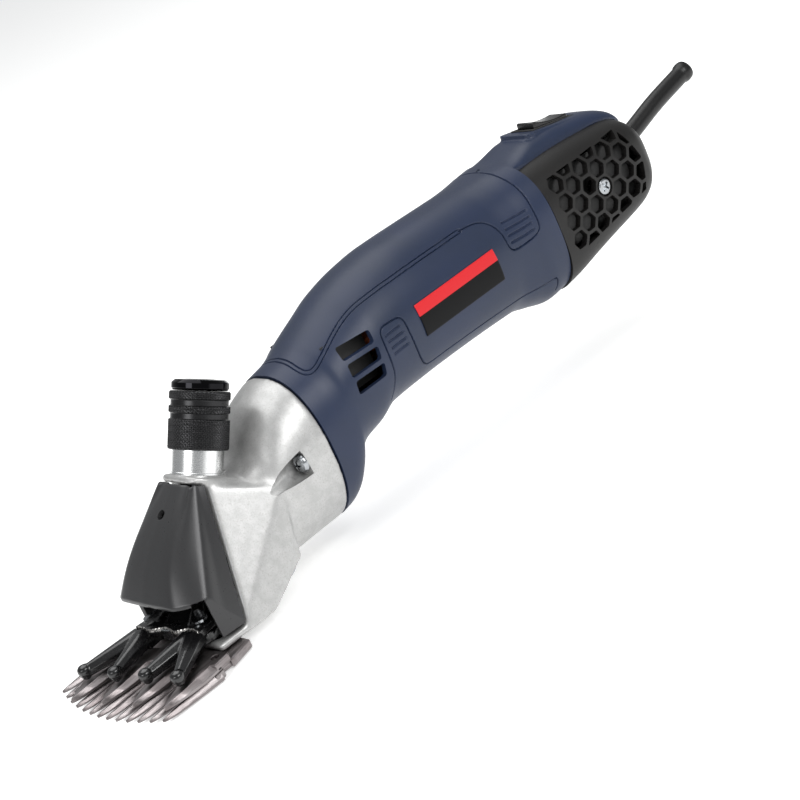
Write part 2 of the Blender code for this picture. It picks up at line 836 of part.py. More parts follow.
def build_bearing_plate():
    """The plate between gear chamber and motor that carries both rear bearings."""
    front = FLANGE_Y + GAP
    thickness = 0.0065
    rings = [
        section(
            y,
            FLANGE_HALF - HOUSING_WALL - GAP - 0.0004,
            FLANGE_TOP_Z - HOUSING_WALL - 0.001,
            FLANGE_BOTTOM_Z + HOUSING_WALL + 0.0032,
            GRIP_HALF,
            4,
        )
        for y in (front, front + thickness)
    ]
    made = loft("bearing_plate", rings, cast_aluminium())
    motor_seat = cylinder(
        "plate_motor_seat",
        MOTOR_BEARING_RADIUS + GAP,
        (0, front - 0.001, MOTOR_Z),
        thickness + 0.002,
        ALONG_Y,
    )
    crank_seat = cylinder(
        "plate_crank_seat", 0.0080 + GAP, (0, front - 0.001, CRANK_Z), thickness + 0.002, ALONG_Y
    )
    cut(made, motor_seat, crank_seat)
    turned(
        "front_bearing",
        ring_profile(MOTOR_BEARING_RADIUS, ARMATURE_SHAFT_RADIUS + GAP, 0.0055),
        (0, front + 0.0003, MOTOR_Z),
        ALONG_Y,
        steel(),
    )
    turned(
        "crank_bearing_rear",
        ring_profile(0.0080, CRANK_SHAFT_RADIUS + GAP, 0.0055),
        (0, front + 0.0003, CRANK_Z),
        ALONG_Y,
        steel(),
    )


# ---------------------------------------------------------------- gear head


def head_sections():
    """The casting's rear, from the housing's flange to the crank: (y, half, top, bottom, corner)."""
    return [
        (FLANGE_Y, FLANGE_HALF, FLANGE_TOP_Z, FLANGE_BOTTOM_Z, 0.026),
        (FLANGE_Y - 0.005, FLANGE_HALF, FLANGE_TOP_Z - 0.0015, FLANGE_BOTTOM_Z, 0.025),
        (0.066, 0.0255, 0.0682, 0.0092, 0.023),
        (0.058, 0.0250, 0.0610, 0.0098, 0.020),
        (0.050, 0.0240, 0.0528, 0.0104, 0.016),
        (0.044, 0.0225, 0.0506, 0.0110, 0.013),
    ]


def build_head():
    rings = [section(*values) for values in head_sections()]
    casting = loft("head_casting", rings, cast_aluminium())
    shoulder = NECK_FOOT
    cheeks = hull(
        "head_cheeks",
        [
            (0.0128, 0.0300, 0.0550),
            (0.0135, 0.0440, 0.0496),
            (0.0288, 0.0118, 0.0088),
            (0.0295, 0.0250, BED_LOW_Z),
            (0.0295, 0.0105, BED_LOW_Z),
            (0.0280, 0.0460, 0.0150),
            (0.0245, 0.0520, 0.0420),
        ],
    )
    bed = box("head_bed", (-0.0290, BED_FRONT_Y, BED_LOW_Z), (0.0290, 0.0240, BED_TOP_Z))
    neck_length = NECK_EXPOSED + NECK_INSIDE + 0.002
    neck = cylinder("head_neck", NECK_RADIUS, shoulder - TENSION_AXIS * 0.002, neck_length, ALONG_TENSION)
    slab_outline = [
        (0.0070, -0.0106),
        (0.0112, -0.0088),
        (0.0130, -0.0040),
        (0.0135, 0.0080),
        (0.0120, 0.0105),
    ]
    slab_outline += [(-x, y) for x, y in reversed(slab_outline)]
    slab = plate("head_slab", slab_outline, 0.0030, shoulder - TENSION_AXIS * 0.0030, ALONG_TENSION)
    join(casting, cheeks, slab, bed, neck)
    cut_head_cavities(casting)
    cut_head_fasteners(casting)


def cut_head_cavities(casting):
    shoulder = NECK_FOOT
    cavity = hull(
        "fork_cavity",
        [
            (0.0095, 0.0180, 0.0485),
            (0.0095, 0.0350, 0.0485),
            (0.0265, -0.0200, BED_TOP_Z),
            (0.0240, 0.0255, BED_TOP_Z),
            (0.0240, 0.0320, 0.0108),
            (0.0185, 0.0320, 0.0300),
            (0.0265, -0.0200, 0.0300),
        ],
    )
    block_room = box(
        "block_room",
        (-0.0136, 0.0320, CRANK_Z - 0.0130),
        (0.0136, ROLLER_FRONT_Y + 0.0002, CRANK_Z + 0.0078),
    )
    crank_length = CRANK_BEARING_Y - GAP - BLOCK_FRONT_Y
    crank_room = cylinder("crank_room", 0.0095, (0, BLOCK_FRONT_Y, CRANK_Z), crank_length, ALONG_Y, sides=32)
    bearing_place = (0, CRANK_BEARING_Y - 0.002, CRANK_Z)
    bearing_room = cylinder(
        "bearing_room", CRANK_BEARING_RADIUS + GAP, bearing_place, 0.03, ALONG_Y, sides=40
    )
    gear_radius = GEAR_MODULE * (GEAR_TEETH / 2 + 0.8) + 0.0010
    pinion_radius = GEAR_MODULE * (PINION_TEETH / 2 + 0.8) + 0.0006
    gear_room = cylinder(
        "gear_room", gear_radius, (0, GEAR_FRONT_Y - 0.001, CRANK_Z), 0.02, ALONG_Y, sides=48
    )
    pinion_room = cylinder(
        "pinion_room", pinion_radius, (0, GEAR_FRONT_Y - 0.001, MOTOR_Z), 0.02, ALONG_Y, sides=24
    )
    bore_length = NECK_EXPOSED + NECK_INSIDE + 0.02
    bore_start = shoulder - TENSION_AXIS * 0.012
    sleeve_bore = cylinder("sleeve_bore", SLEEVE_RADIUS + GAP, bore_start, bore_length, ALONG_TENSION)
    cut(casting, cavity, block_room, crank_room, bearing_room, gear_room, pinion_room, sleeve_bore)


def cut_head_fasteners(casting):
    post_hole = cylinder("post_hole", POST_RADIUS + GAP, (0, FULCRUM_Y, 0), BED_TOP_Z + 0.001, sides=24)
    cut(casting, post_hole)
    for side, name in ((-1, "left"), (1, "right")):
        comb_place = (side * COMB_SCREW_X, COMB_SCREW_Y, 0)
        hole = cylinder(
            "comb_screw_hole_" + name, COMB_SCREW_RADIUS + GAP, comb_place, 0.02, sides=20
        )
        x = side * HEAD_SCREW_X
        bore_place = (x, 0.0440, HEAD_SCREW_Z)
        bore = cylinder(
            "screw_bore_" + name, 0.0048, bore_place, HEAD_SCREW_Y - 0.0440, ALONG_Y, sides=20
        )
        mouth = rod(
            "screw_mouth_" + name,
            (x + side * 0.0065, 0.0310, HEAD_SCREW_Z - 0.0025),
            (x + side * 0.0012, HEAD_SCREW_Y - 0.0030, HEAD_SCREW_Z),
            0.0050,
            0.0046,
            sides=20,
        )
        hole_length = FLANGE_Y - 0.0600 + 0.001
        screw_hole = cylinder(
            "screw_hole_" + name, 0.0018 + GAP, (x, 0.0600, HEAD_SCREW_Z), hole_length, ALONG_Y, sides=16
        )
        cut(casting, hole, bore, mouth, screw_hole)
    inward = Vector((0, -0.467, 0.884))
    oil_place = Vector((0.0220, 0.0400, 0.0118)) - inward * 0.004
    cut(casting, cylinder("oil_hole", 0.0024 + GAP, oil_place, 0.0100, towards(inward), sides=20))


def build_head_screws():
    """The screws that pull the gear head onto the housing, heads in the side pockets."""
    for side, name in ((-1, "left"), (1, "right")):
        profile = [
            (0, 0.0128),
            (0.0018, 0.0128),
            (0.0018, 0.0),
            (0.0038, 0.0),
            (0.0036, -0.0014),
            (0.0020, -0.0024),
            (0, -0.0028),
        ]
        place = (side * HEAD_SCREW_X, HEAD_SCREW_Y - GAP, HEAD_SCREW_Z)
        turned("head_screw_" + name, profile, place, ALONG_Y, steel(), steps=20)


def build_oil_plug():
    """A shallow plug in the sloping underside of the right cheek."""
    outward = Vector((0, 0.467, -0.884))
    place = Vector((0.0220, 0.0400, 0.0118)) + outward * GAP
    profile = [
        (0, 0.0045),
        (0.0024, 0.0045),
        (0.0024, 0.0),
        (0.0036, 0.0),
        (0.0036, -0.0010),
        (0.0028, -0.0015),
        (0, -0.0015),
    ]
    turned("oil_plug", profile, place, towards(-outward), black_plastic(), steps=20)


def cover_profile(part):
    """One level of the front cover, top (0) to bottom (1), as half of its outline from the centre out."""
    front_y = 0.0251 - 0.0337 * part - 0.0045 * sin(pi * part)
    front_z = 0.0582 - 0.0318 * part
    chamfer_y = 0.0254 - 0.0240 * part
    chamfer_z = 0.0580 - 0.0328 * part
    rear_y = 0.0288 - 0.0178 * part
    rear_z = 0.0560 - 0.0470 * part
    front_half = 0.0088 + 0.0092 * part
    chamfer_half = 0.0122 + 0.0154 * part
    rear_half = 0.0134 + 0.0158 * part
    return [
        (0, front_y - 0.0008, front_z + 0.0004),
        (front_half * 0.6, front_y - 0.0005, front_z + 0.0003),
        (front_half, front_y, front_z),
        ((front_half + chamfer_half) / 2, (front_y + chamfer_y) / 2 - 0.0010, (front_z + chamfer_z) / 2),
        (chamfer_half, chamfer_y, chamfer_z),
        ((chamfer_half + rear_half) / 2, (chamfer_y + rear_y) / 2, (chamfer_z + rear_z) / 2),
        (rear_half, rear_y, rear_z),
    ]


def build_front_cover():
    """An open skin down the front of the head, thickened inwards; its two cheeks hang lower than its brow."""
    levels = 8
    shape = bmesh.new()
    rows = []
    for level in range(levels + 1):
        half = cover_profile(level / levels)
        whole = [(-x, y, z) for x, y, z in reversed(half[1:])] + half
        rows.append([shape.verts.new(point) for point in whole])
    for upper, lower in zip(rows, rows[1:]):
        for i in range(len(upper) - 1):
            shape.faces.new((upper[i], lower[i], lower[i + 1], upper[i + 1]))
    last = rows[-1]
    for first, outer in ((0, 2), (len(last) - 3, len(last) - 1)):
        low = [shape.verts.new((last[i].co.x, last[i].co.y, 0.0085)) for i in range(first, outer + 1)]
        for i in range(2):
            shape.faces.new((last[first + i], low[i], low[i + 1], last[first + i + 1]))
    cover = add("front_cover", mesh_of("front_cover", shape), black_plastic())
    wall = cover.modifiers.new("wall", "SOLIDIFY")
    wall.thickness = 0.0018
    wall.offset = -1
    hole = rod("cover_sight_hole", (0, 0.0108, 0.0560), (0, 0.0190, 0.0445), 0.0021, 0.0021, sides=16)
    return cut(cover, hole)


# ---------------------------------------------------------------- tension


def build_tension():
    """The knurled knob, its cap, threaded sleeve, spring and the pin that loads the fork."""
    knob_inner = NECK_RADIUS + GAP
    depth = NECK_INSIDE + 0.0010
    profile = [
        (0, KNOB_LENGTH),
        (KNOB_RADIUS, KNOB_LENGTH),
        (KNOB_RADIUS, 0.0195),
        (KNOB_RADIUS - 0.0007, 0.0190),
        (KNOB_RADIUS - 0.0007, 0.0172),
        (KNOB_RADIUS, 0.0167),
        (KNOB_RADIUS, 0.0144),
        (KNOB_RADIUS - 0.0007, 0.0139),
        (KNOB_RADIUS - 0.0007, 0.0121),
        (KNOB_RADIUS, 0.0116),
        (KNOB_RADIUS, GAP),
        (knob_inner, GAP),
        (knob_inner, depth + 0.0025),
        (SLEEVE_RADIUS - 0.0012, depth + 0.0025),
        (SLEEVE_RADIUS - 0.0012, KNOB_LENGTH - 0.0025),
        (0, KNOB_LENGTH - 0.0025),
    ]
    turned("tension_knob", profile, KNOB_BASE, ALONG_TENSION, black_paint(), steps=28)
    cap_base = KNOB_BASE + TENSION_AXIS * (KNOB_LENGTH + GAP)
    cap = [
        (0, KNOB_CAP_LENGTH),
        (KNOB_CAP_RADIUS - 0.0012, KNOB_CAP_LENGTH),
        (KNOB_CAP_RADIUS, KNOB_CAP_LENGTH - 0.0012),
        (KNOB_CAP_RADIUS, 0),
        (0, 0),
    ]
    turned("knob_cap", cap, cap_base, ALONG_TENSION, black_paint(), steps=28)
    build_tension_insides()


def build_tension_insides():
    sleeve_low = -0.0065
    sleeve_top = NECK_INSIDE + 0.0028
    bore = TENSION_PIN_RADIUS + 0.0019
    sleeve = [
        (bore, sleeve_top),
        (SLEEVE_RADIUS, sleeve_top),
        (SLEEVE_RADIUS, sleeve_low),
        (bore, sleeve_low),
    ]
    turned("tension_sleeve", sleeve, KNOB_BASE, ALONG_TENSION, steel())
    tip = -CUP_DEPTH + 0.0012 + 2 * GAP
    collar = -0.0085
    pin = [
        (0, collar + 0.003),
        (TENSION_PIN_RADIUS, collar + 0.003),
        (TENSION_PIN_RADIUS, collar),
        (TENSION_PIN_RADIUS, tip + 0.004),
        (0.0014, tip),
        (0, tip),
    ]
    turned("tension_pin", pin, KNOB_BASE, ALONG_TENSION, steel(), steps=24)
    turns = 5
    height = 0.012
    per_turn = 12
    wire = 0.0006
    radius = TENSION_PIN_RADIUS + 0.0008
    base = KNOB_BASE + TENSION_AXIS * (collar + 0.0065)
    points = []
    for step in range(turns * per_turn + 1):
        angle = tau * step / per_turn
        local = Vector((radius * cos(angle), radius * sin(angle), height * step / (turns * per_turn)))
        points.append(base + ALONG_TENSION @ local)
    tube_along("tension_spring", points, wire, steel(), 0)


# ---------------------------------------------------------------- motor


def build_armature():
    centre = Vector((0, 0, MOTOR_Z))

    def at(y):
        return centre + Vector((0, y, 0))

    shaft_end = REAR_BEARING_Y + BEARING_WIDTH + 0.002
    cylinder(
        "armature_shaft",
        ARMATURE_SHAFT_RADIUS - 0.0012,
        at(GEAR_FRONT_Y - GAP),
        shaft_end - GEAR_FRONT_Y + GAP,
        ALONG_Y,
        steel(),
        sides=24,
    )
    step = cylinder(
        "armature_journal",
        ARMATURE_SHAFT_RADIUS,
        at(GEAR_FRONT_Y + GEAR_WIDTH + 0.0006),
        shaft_end - GEAR_FRONT_Y - GEAR_WIDTH - 0.0006,
        ALONG_Y,
        sides=24,
    )
    join(bpy.data.objects["armature_shaft"], step)
    half_pitch = pi / PINION_TEETH
    pinion = plate(
        "pinion",
        gear_outline(PINION_TEETH, pi / 2 + half_pitch),
        GEAR_WIDTH,
        at(GEAR_FRONT_Y),
        ALONG_Y,
        steel(),
    )
    cut(
        pinion,
        cylinder(
            "pinion_bore",
            ARMATURE_SHAFT_RADIUS - 0.0012 + GAP,
            at(GEAR_FRONT_Y - 0.001),
            GEAR_WIDTH + 0.002,
            ALONG_Y,
            sides=24,
        ),
    )
    bore = ARMATURE_SHAFT_RADIUS + GAP
    core_steel = material("lamination", DARK_STEEL, 0.5, 0.8)
    turned(
        "armature_core",
        ring_profile(CORE_RADIUS, bore, CORE_LENGTH),
        at(CORE_Y),
        ALONG_Y,
        core_steel,
        steps=36,
    )
    copper = material("copper", COPPER, 0.35, 1.0)
    winding = [(0.0105, 0.0075), (0.0130, 0.0045), (0.0130, 0), (bore, 0), (bore, 0.0075)]
    turned("armature_winding_rear", winding, at(CORE_Y + CORE_LENGTH + GAP), ALONG_Y, copper, steps=24)
    flipped = [(radius, 0.0075 - height) for radius, height in reversed(winding)]
    turned("armature_winding_front", flipped, at(CORE_Y - GAP - 0.0075), ALONG_Y, copper, steps=24)
    turned(
        "commutator",
        ring_profile(COMMUTATOR_RADIUS, bore, COMMUTATOR_LENGTH),
        at(COMMUTATOR_Y),
        ALONG_Y,
        copper,
        steps=24,
    )
    rear = ring_profile(MOTOR_BEARING_RADIUS, bore, BEARING_WIDTH)
    turned("rear_bearing", rear, at(REAR_BEARING_Y), ALONG_Y, steel())
    build_fan(at(FAN_Y))


def build_fan(place):
    """A backplate with straight radial blades on its motor side."""
    bore = ARMATURE_SHAFT_RADIUS + GAP
    fan = turned(
        "fan",
        [
            (0.0062, FAN_WIDTH),
            (0.0062, 0.0015),
            (FAN_RADIUS, 0.0015),
            (FAN_RADIUS, 0),
            (bore, 0),
            (bore, FAN_WIDTH),
        ],
        place,
        ALONG_Y,
        black_plastic(),
        steps=32,
    )
    for blade in range(10):
        angle = tau * blade / 10
        made = box(
            f"fan_blade_{blade}",
            (0.0056, -0.0005, 0.0008),
            (FAN_RADIUS - 0.0008, 0.0005, FAN_WIDTH - 0.0006),
        )
        turn = ALONG_Y @ Matrix.Rotation(angle, 4, "Z")
        made.matrix_basis = Matrix.Translation(place) @ turn @ Matrix.Translation((0.00985, 0, 0.0041))
        join(fan, made)


def build_stator():
    """The laminated field, its two coils, and the brush gear round the commutator."""
    bore = CORE_RADIUS + STATOR_BORE_GAP
    outer = GRIP_HALF - HOUSING_WALL - 0.0022
    core_steel = material("lamination", DARK_STEEL, 0.5, 0.8)
    turned(
        "stator_core",
        ring_profile(outer, bore, CORE_LENGTH),
        (0, CORE_Y, MOTOR_Z),
        ALONG_Y,
        core_steel,
        steps=40,
    )
    copper = material("copper", COPPER, 0.35, 1.0)
    front = CORE_Y - 0.0060
    for name, y in (("front", front), ("rear", CORE_Y + CORE_LENGTH + GAP)):
        turned(
            f"field_coil_{name}",
            ring_profile(outer - 0.001, bore, 0.0057),
            (0, y, MOTOR_Z),
            ALONG_Y,
            copper,
            steps=28,
        )
    middle = COMMUTATOR_Y + COMMUTATOR_LENGTH / 2
    brass = material("brass", BRASS, 0.3, 1.0)
    carbon = material("carbon", (0.02, 0.02, 0.02), 0.7)
    low = COMMUTATOR_RADIUS + GAP
    for side, name in ((-1, "left"), (1, "right")):
        ends = sorted((side * (low + 0.0012), side * (GRIP_HALF - HOUSING_WALL - 0.0020)))
        holder = box(
            "brush_holder_" + name,
            (ends[0], middle - 0.0045, MOTOR_Z - 0.0055),
            (ends[1], middle + 0.0045, MOTOR_Z + 0.0055),
            brass,
        )
        window = box(
            "brush_window_" + name,
            (ends[0] - 0.002, middle - 0.0033, MOTOR_Z - 0.0043),
            (ends[1] + 0.002, middle + 0.0033, MOTOR_Z + 0.0043),
        )
        cut(holder, window)
        brush = sorted((side * low, side * (low + 0.0090)))
        box(
            "brush_" + name,
            (brush[0], middle - 0.0030, MOTOR_Z - 0.0040),
            (brush[1], middle + 0.0030, MOTOR_Z + 0.0040),
            carbon,
        )
        base = Vector((side * (low + 0.0098), middle, MOTOR_Z))
        turns = 3
        points = []
        for step in range(turns * 10 + 1):
            angle = tau * step / 10
            points.append(
                base
                + Vector((side * 0.0045 * step / (turns * 10), 0.0022 * cos(angle), 0.0022 * sin(angle)))
            )
        tube_along("brush_spring_" + name, points, 0.0004, steel(), 0)


# ---------------------------------------------------------------- motor housing


def housing_stations():
    """(y, half, top, bottom) along the grip; the section is a stadium, so its corner is its half width."""
    return [
        (FLANGE_Y + GAP, FLANGE_HALF, FLANGE_TOP_Z, FLANGE_BOTTOM_Z),
        (0.088, 0.0264, 0.0750, 0.0115),
        (0.0925, 0.0266, 0.0765, 0.0160),
        (0.0965, 0.0270, 0.0783, 0.0262),
        (0.111, 0.0276, 0.0840, 0.0296),
        (0.121, GRIP_HALF, 0.0880, 0.0348),
        (0.135, GRIP_HALF, 0.0915, 0.0348),
        (0.150, GRIP_HALF, 0.0928, 0.0350),
        (0.194, GRIP_HALF, 0.0918, 0.0340),
        (0.206, GRIP_HALF + 0.0005, 0.0916, 0.0320),
        (0.213, GRIP_HALF + 0.0010, 0.0918, 0.0302),
        (HOUSING_REAR_Y, GRIP_HALF + 0.0010, 0.0918, 0.0305),
    ]


def tongue_sections():
    """The top strip that carries the switch: (y, half width, top, underside), swelling around the rocker."""
    return [
        (0.1960, 0.0110, 0.0915, TONGUE_UNDER_Z + 0.0010),
        (0.2080, 0.0142, 0.0921, TONGUE_UNDER_Z),
        (0.2190, TONGUE_HALF, 0.0926, TONGUE_UNDER_Z),
        (0.2300, TONGUE_HALF, 0.0948, TONGUE_UNDER_Z - 0.0002),
        (SWITCH_Y - SWITCH_LENGTH / 2 - 0.0040, TONGUE_HALF, 0.0956, TONGUE_UNDER_Z - 0.0004),
        (SWITCH_Y, TONGUE_HALF, 0.0952, TONGUE_UNDER_Z - 0.0008),
        (SWITCH_Y + SWITCH_LENGTH / 2 - 0.0015, TONGUE_HALF, 0.0940, TONGUE_UNDER_Z - 0.0010),
        (0.2730, 0.0152, 0.0912, TONGUE_UNDER_Z - 0.0022),
        (0.2805, 0.0144, 0.0870, TONGUE_UNDER_Z - 0.0048),
        (0.2850, 0.0132, 0.0824, TONGUE_UNDER_Z - 0.0080),
        (TONGUE_REAR_Y, 0.0120, 0.0790, TONGUE_UNDER_Z - 0.0092),
    ]


def crown(y, half, top, under, steps=12):
    """A flat-bottomed arch across Y, squarer than a half ellipse, as points around its edge."""
    points = []
    for step in range(steps + 1):
        angle = pi * step / steps
        across = copysign(abs(cos(angle)) ** 0.62, cos(angle))
        points.append((half * across, y, under + (top - under) * sin(angle) ** 0.62))
    return points


def build_housing():
    navy = material("navy_plastic", NAVY, 0.4)
    stations = housing_stations()
    outer = [section(y, half, top, bottom, half) for y, half, top, bottom in stations]
    housing = loft("motor_housing", outer, navy)
    join(housing, loft("housing_tongue", [crown(*values) for values in tongue_sections()]))
    wall = HOUSING_WALL
    hollow = [
        section(y, half - wall, top - wall, bottom + wall, half - wall)
        for y, half, top, bottom in stations
        if y not in (stations[0][0], stations[-1][0])
    ]
    first = section(
        FLANGE_Y - 0.001, FLANGE_HALF - wall, FLANGE_TOP_Z - wall, FLANGE_BOTTOM_Z + wall, FLANGE_HALF
    )
    last_y, last_half, last_top, last_bottom = stations[-1]
    last = section(last_y + 0.001, last_half - wall, last_top - wall, last_bottom + wall, last_half)
    cavity = loft("housing_hollow", [first] + hollow + [last])
    cut(housing, cavity)
    cut_switch_window(housing)
    cut_vents(housing)
    build_label()


def cut_switch_window(housing):
    half = SWITCH_WIDTH / 2 + GAP
    reach = SWITCH_LENGTH / 2 + GAP
    window = box("switch_window", (-half, SWITCH_Y - reach, 0.07), (half, SWITCH_Y + reach, 0.11))
    room_half = TONGUE_HALF - 0.0045
    under = box("tongue_hollow", (-room_half, 0.2195, 0.07), (room_half, TONGUE_REAR_Y - 0.020, 0.0895))
    cut(housing, window, under)


def cut_vents(housing):
    """Slanted exhaust slots on both sides, over the fan."""
    for row in range(VENT_COUNT):
        z = VENT_Z + (row - (VENT_COUNT - 1) / 2) * VENT_PITCH
        low = z - VENT_HEIGHT / 2
        high = z + VENT_HEIGHT / 2
        y = VENT_Y + row * VENT_STAGGER
        outline = [
            (y, low),
            (y + VENT_LENGTH, low),
            (y + VENT_LENGTH + VENT_SLANT, high),
            (y + VENT_SLANT, high),
        ]
        across = Matrix(((0, 0, 1, 0), (1, 0, 0, 0), (0, 1, 0, 0), (0, 0, 0, 1)))
        slot = plate(f"vent_slot_{row}", outline, 0.08, (-0.04, 0, 0), across)
        cut(housing, slot)


def build_label():
    """A thin plate on the grip's right side, split into a red band and a black field in one frame."""
    low = (GRIP_HALF + GAP, LABEL_Y - LABEL_LENGTH / 2, LABEL_Z - LABEL_HEIGHT / 2)
    high = (GRIP_HALF + GAP + LABEL_THICKNESS, LABEL_Y + LABEL_LENGTH / 2, LABEL_Z + LABEL_HEIGHT / 2)
    box("label_plate", low, high, material("label", RED, 0.4))


# ---------------------------------------------------------------- switch


def build_switch():
    """A snap-in rocker: its body in the top strip, and the rocker on a cross pin with a little travel."""
    half = SWITCH_WIDTH / 2
    reach = SWITCH_LENGTH / 2
    top = 0.0955
    body = box(
        "switch_body", (-half, SWITCH_Y - reach, 0.0725), (half, SWITCH_Y + reach, top), black_plastic()
    )
    well = box(
        "switch_well",
        (-half + 0.0012, SWITCH_Y - reach + 0.0012, 0.0845),
        (half - 0.0012, SWITCH_Y + reach - 0.0012, top + 0.002),
    )
    cut(body, well)
    outline = [
        (-0.0100, 0.0088),
        (-0.0100, 0.0040),
        (-0.0035, 0.0010),
        (0.0035, 0.0010),
        (0.0100, 0.0040),
        (0.0100, 0.0068),
        (0.0040, 0.0085),
        (-0.0040, 0.0096),
    ]
    across = Matrix(((0, 0, 1, 0), (1, 0, 0, 0), (0, 1, 0, 0), (0, 0, 0, 1)))
    pivot = empty("rocker_pivot", (0, SWITCH_Y, 0.0885), Matrix.Rotation(-ROCKER_TILT / 2, 4, "X"))
    wide = half - 0.0012 - RUNNING_GAP
    rocker = plate(
        "rocker",
        outline,
        2 * wide,
        (-wide, 0, -0.0015),
        across,
        material("gloss_black", (0.008, 0.008, 0.009), 0.2),
        pivot,
    )
    return rocker


# ---------------------------------------------------------------- rear covers


def rear_sections(inset):
    """The rear covers' sections behind the housing, each inset by the wall for the hollow."""
    stations = [
        (HOUSING_REAR_Y + GAP, COVER_HALF, 0.0855, 0.0303, 0.017),
        (0.2320, COVER_HALF, 0.0853, 0.0308, 0.015),
        (0.2460, COVER_HALF, 0.0848, 0.0325, 0.014),
        (0.2640, COVER_HALF, 0.0840, 0.0370, 0.014),
        (0.2740, COVER_HALF - 0.0006, 0.0828, 0.0410, 0.014),
        (0.2810, COVER_HALF - 0.0040, 0.0800, 0.0455, 0.013),
        (COVER_REAR_Y, COVER_HALF - 0.0100, 0.0760, 0.0510, 0.010),
    ]
    return [
        section(y, half - inset, top - inset, bottom + inset, max(corner - inset, 0.003), 3)
        for y, half, top, bottom, corner in stations
    ]


def hex_cells():
    """Centres (Y, Z) of the vent cells: columns along Y, each second one half a pitch lower."""
    step = HEX_PITCH * cos(pi / 6)
    cells = []
    for column in range(-3, 3):
        count = 4 if column % 2 else 3
        for row in range(count):
            if column == 0 and row == 1:
                continue  # the screw boss takes this place
            z = COVER_SCREW_Z + HEX_PITCH * ((count - 1) / 2 - row)
            cells.append((COVER_SCREW_Y + column * step, z))
    return cells


def build_rear_covers():
    """Two clam halves split down the middle, with hexagonal vents and a screw boss in each side."""
    outer = rear_sections(0.0)
    inner = rear_sections(COVER_WALL)
    inner[0] = [(x, HOUSING_REAR_Y - 0.002, z) for x, _, z in inner[0]]
    for side, name in ((-1, "left"), (1, "right")):
        cover = loft("rear_cover_" + name, outer, black_plastic())
        hollow = loft("rear_hollow_" + name, inner)
        other = sorted((-side * 0.05, side * (GAP / 2)))
        half = box("rear_half_" + name, (other[0], 0.20, 0.0), (other[1], 0.35, 0.12))
        cut(cover, hollow, half)
        cut_cover_openings(cover, side, name)


def cut_cover_openings(cover, side, name):
    for number, (y, z) in enumerate(hex_cells()):
        ends = sorted((side * (COVER_HALF - COVER_WALL - 0.004), side * (COVER_HALF + 0.004)))
        cell = cylinder(
            f"hex_{name}_{number}",
            HEX_ACROSS / 2 / cos(pi / 6),
            (ends[0], y, z),
            ends[1] - ends[0],
            ALONG_X,
            sides=6,
        )
        cell.data.transform(Matrix.Rotation(pi / 6, 4, "Z"))
        cut(cover, cell)
    hole = cylinder(
        "cover_hole_" + name, 0.0020, (-0.05, COVER_SCREW_Y, COVER_SCREW_Z), 0.1, ALONG_X, sides=20
    )
    sink = rod(
        "cover_sink_" + name,
        (side * (COVER_HALF - 0.0014), COVER_SCREW_Y, COVER_SCREW_Z),
        (side * (COVER_HALF + 0.0010), COVER_SCREW_Y, COVER_SCREW_Z),
        0.0037,
        0.0043,
        sides=22,
    )
    guard_hole = cylinder(
        "guard_hole_" + name, GUARD_RADIUS + GAP, (0, 0.27, MOTOR_Z), 0.03, ALONG_Y, sides=24
    )
    well = box(
        "switch_room_" + name,
        (-SWITCH_WIDTH / 2 - GAP, SWITCH_Y - SWITCH_LENGTH / 2 - GAP, 0.0700),
        (SWITCH_WIDTH / 2 + GAP, SWITCH_Y + SWITCH_LENGTH / 2 + GAP, 0.0900),
    )
    cut(cover, hole, sink, guard_hole, well)
    if side > 0:
        profile_turn = ALONG_X
        base = (COVER_HALF - 0.0014 + GAP, COVER_SCREW_Y, COVER_SCREW_Z)
        profile = [
            (0, 0.0014),
            (0.0022, 0.0012),
            (0.0034, 0.0003),
            (0.0034, 0),
            (0.0017, 0),
            (0.0017, -0.0450),
            (0, -0.0450),
        ]
        screw = turned("rear_cover_screw", profile, base, profile_turn, steel(), steps=24)
        x = base[0] + 0.0014
        for arm, (along, upward) in enumerate(((0.0022, 0.0004), (0.0004, 0.0022))):
            low = (x - 0.0009, COVER_SCREW_Y - along, COVER_SCREW_Z - upward)
            high = (x + 0.001, COVER_SCREW_Y + along, COVER_SCREW_Z + upward)
            cut(screw, box(f"cross_slot_{arm}", low, high))


def build_rear_insides():
    """The rear bearing bridge, the suppressor capacitor and the clamp that holds the cord."""
    wall = HOUSING_WALL
    bridge = box(
        "bearing_bridge",
        (-GRIP_HALF + wall + 0.002, REAR_BEARING_Y, MOTOR_Z - 0.012),
        (GRIP_HALF - wall - 0.002, REAR_BEARING_Y + BEARING_WIDTH, MOTOR_Z + 0.012),
        black_plastic(),
        bevel=0.002,
    )
    cut(
        bridge,
        cylinder(
            "bridge_seat",
            MOTOR_BEARING_RADIUS + GAP,
            (0, REAR_BEARING_Y - 0.001, MOTOR_Z),
            BEARING_WIDTH + 0.002,
            ALONG_Y,
        ),
    )
    box(
        "capacitor",
        (-0.0200, 0.2300, 0.0390),
        (-0.0050, 0.2440, 0.0480),
        material("capacitor_yellow", (0.55, 0.38, 0.03), 0.5),
        bevel=0.001,
    )
    box(
        "cord_clamp_base",
        (-0.0110, 0.2660, MOTOR_Z - 0.0110),
        (0.0110, 0.2730, MOTOR_Z - GUARD_RADIUS - GAP),
        black_plastic(),
        bevel=0.0006,
    )
    box(
        "cord_clamp_bar",
        (-0.0110, 0.2660, MOTOR_Z + GUARD_RADIUS + GAP),
        (0.0110, 0.2730, MOTOR_Z + 0.0080),
        black_plastic(),
        bevel=0.0006,
    )


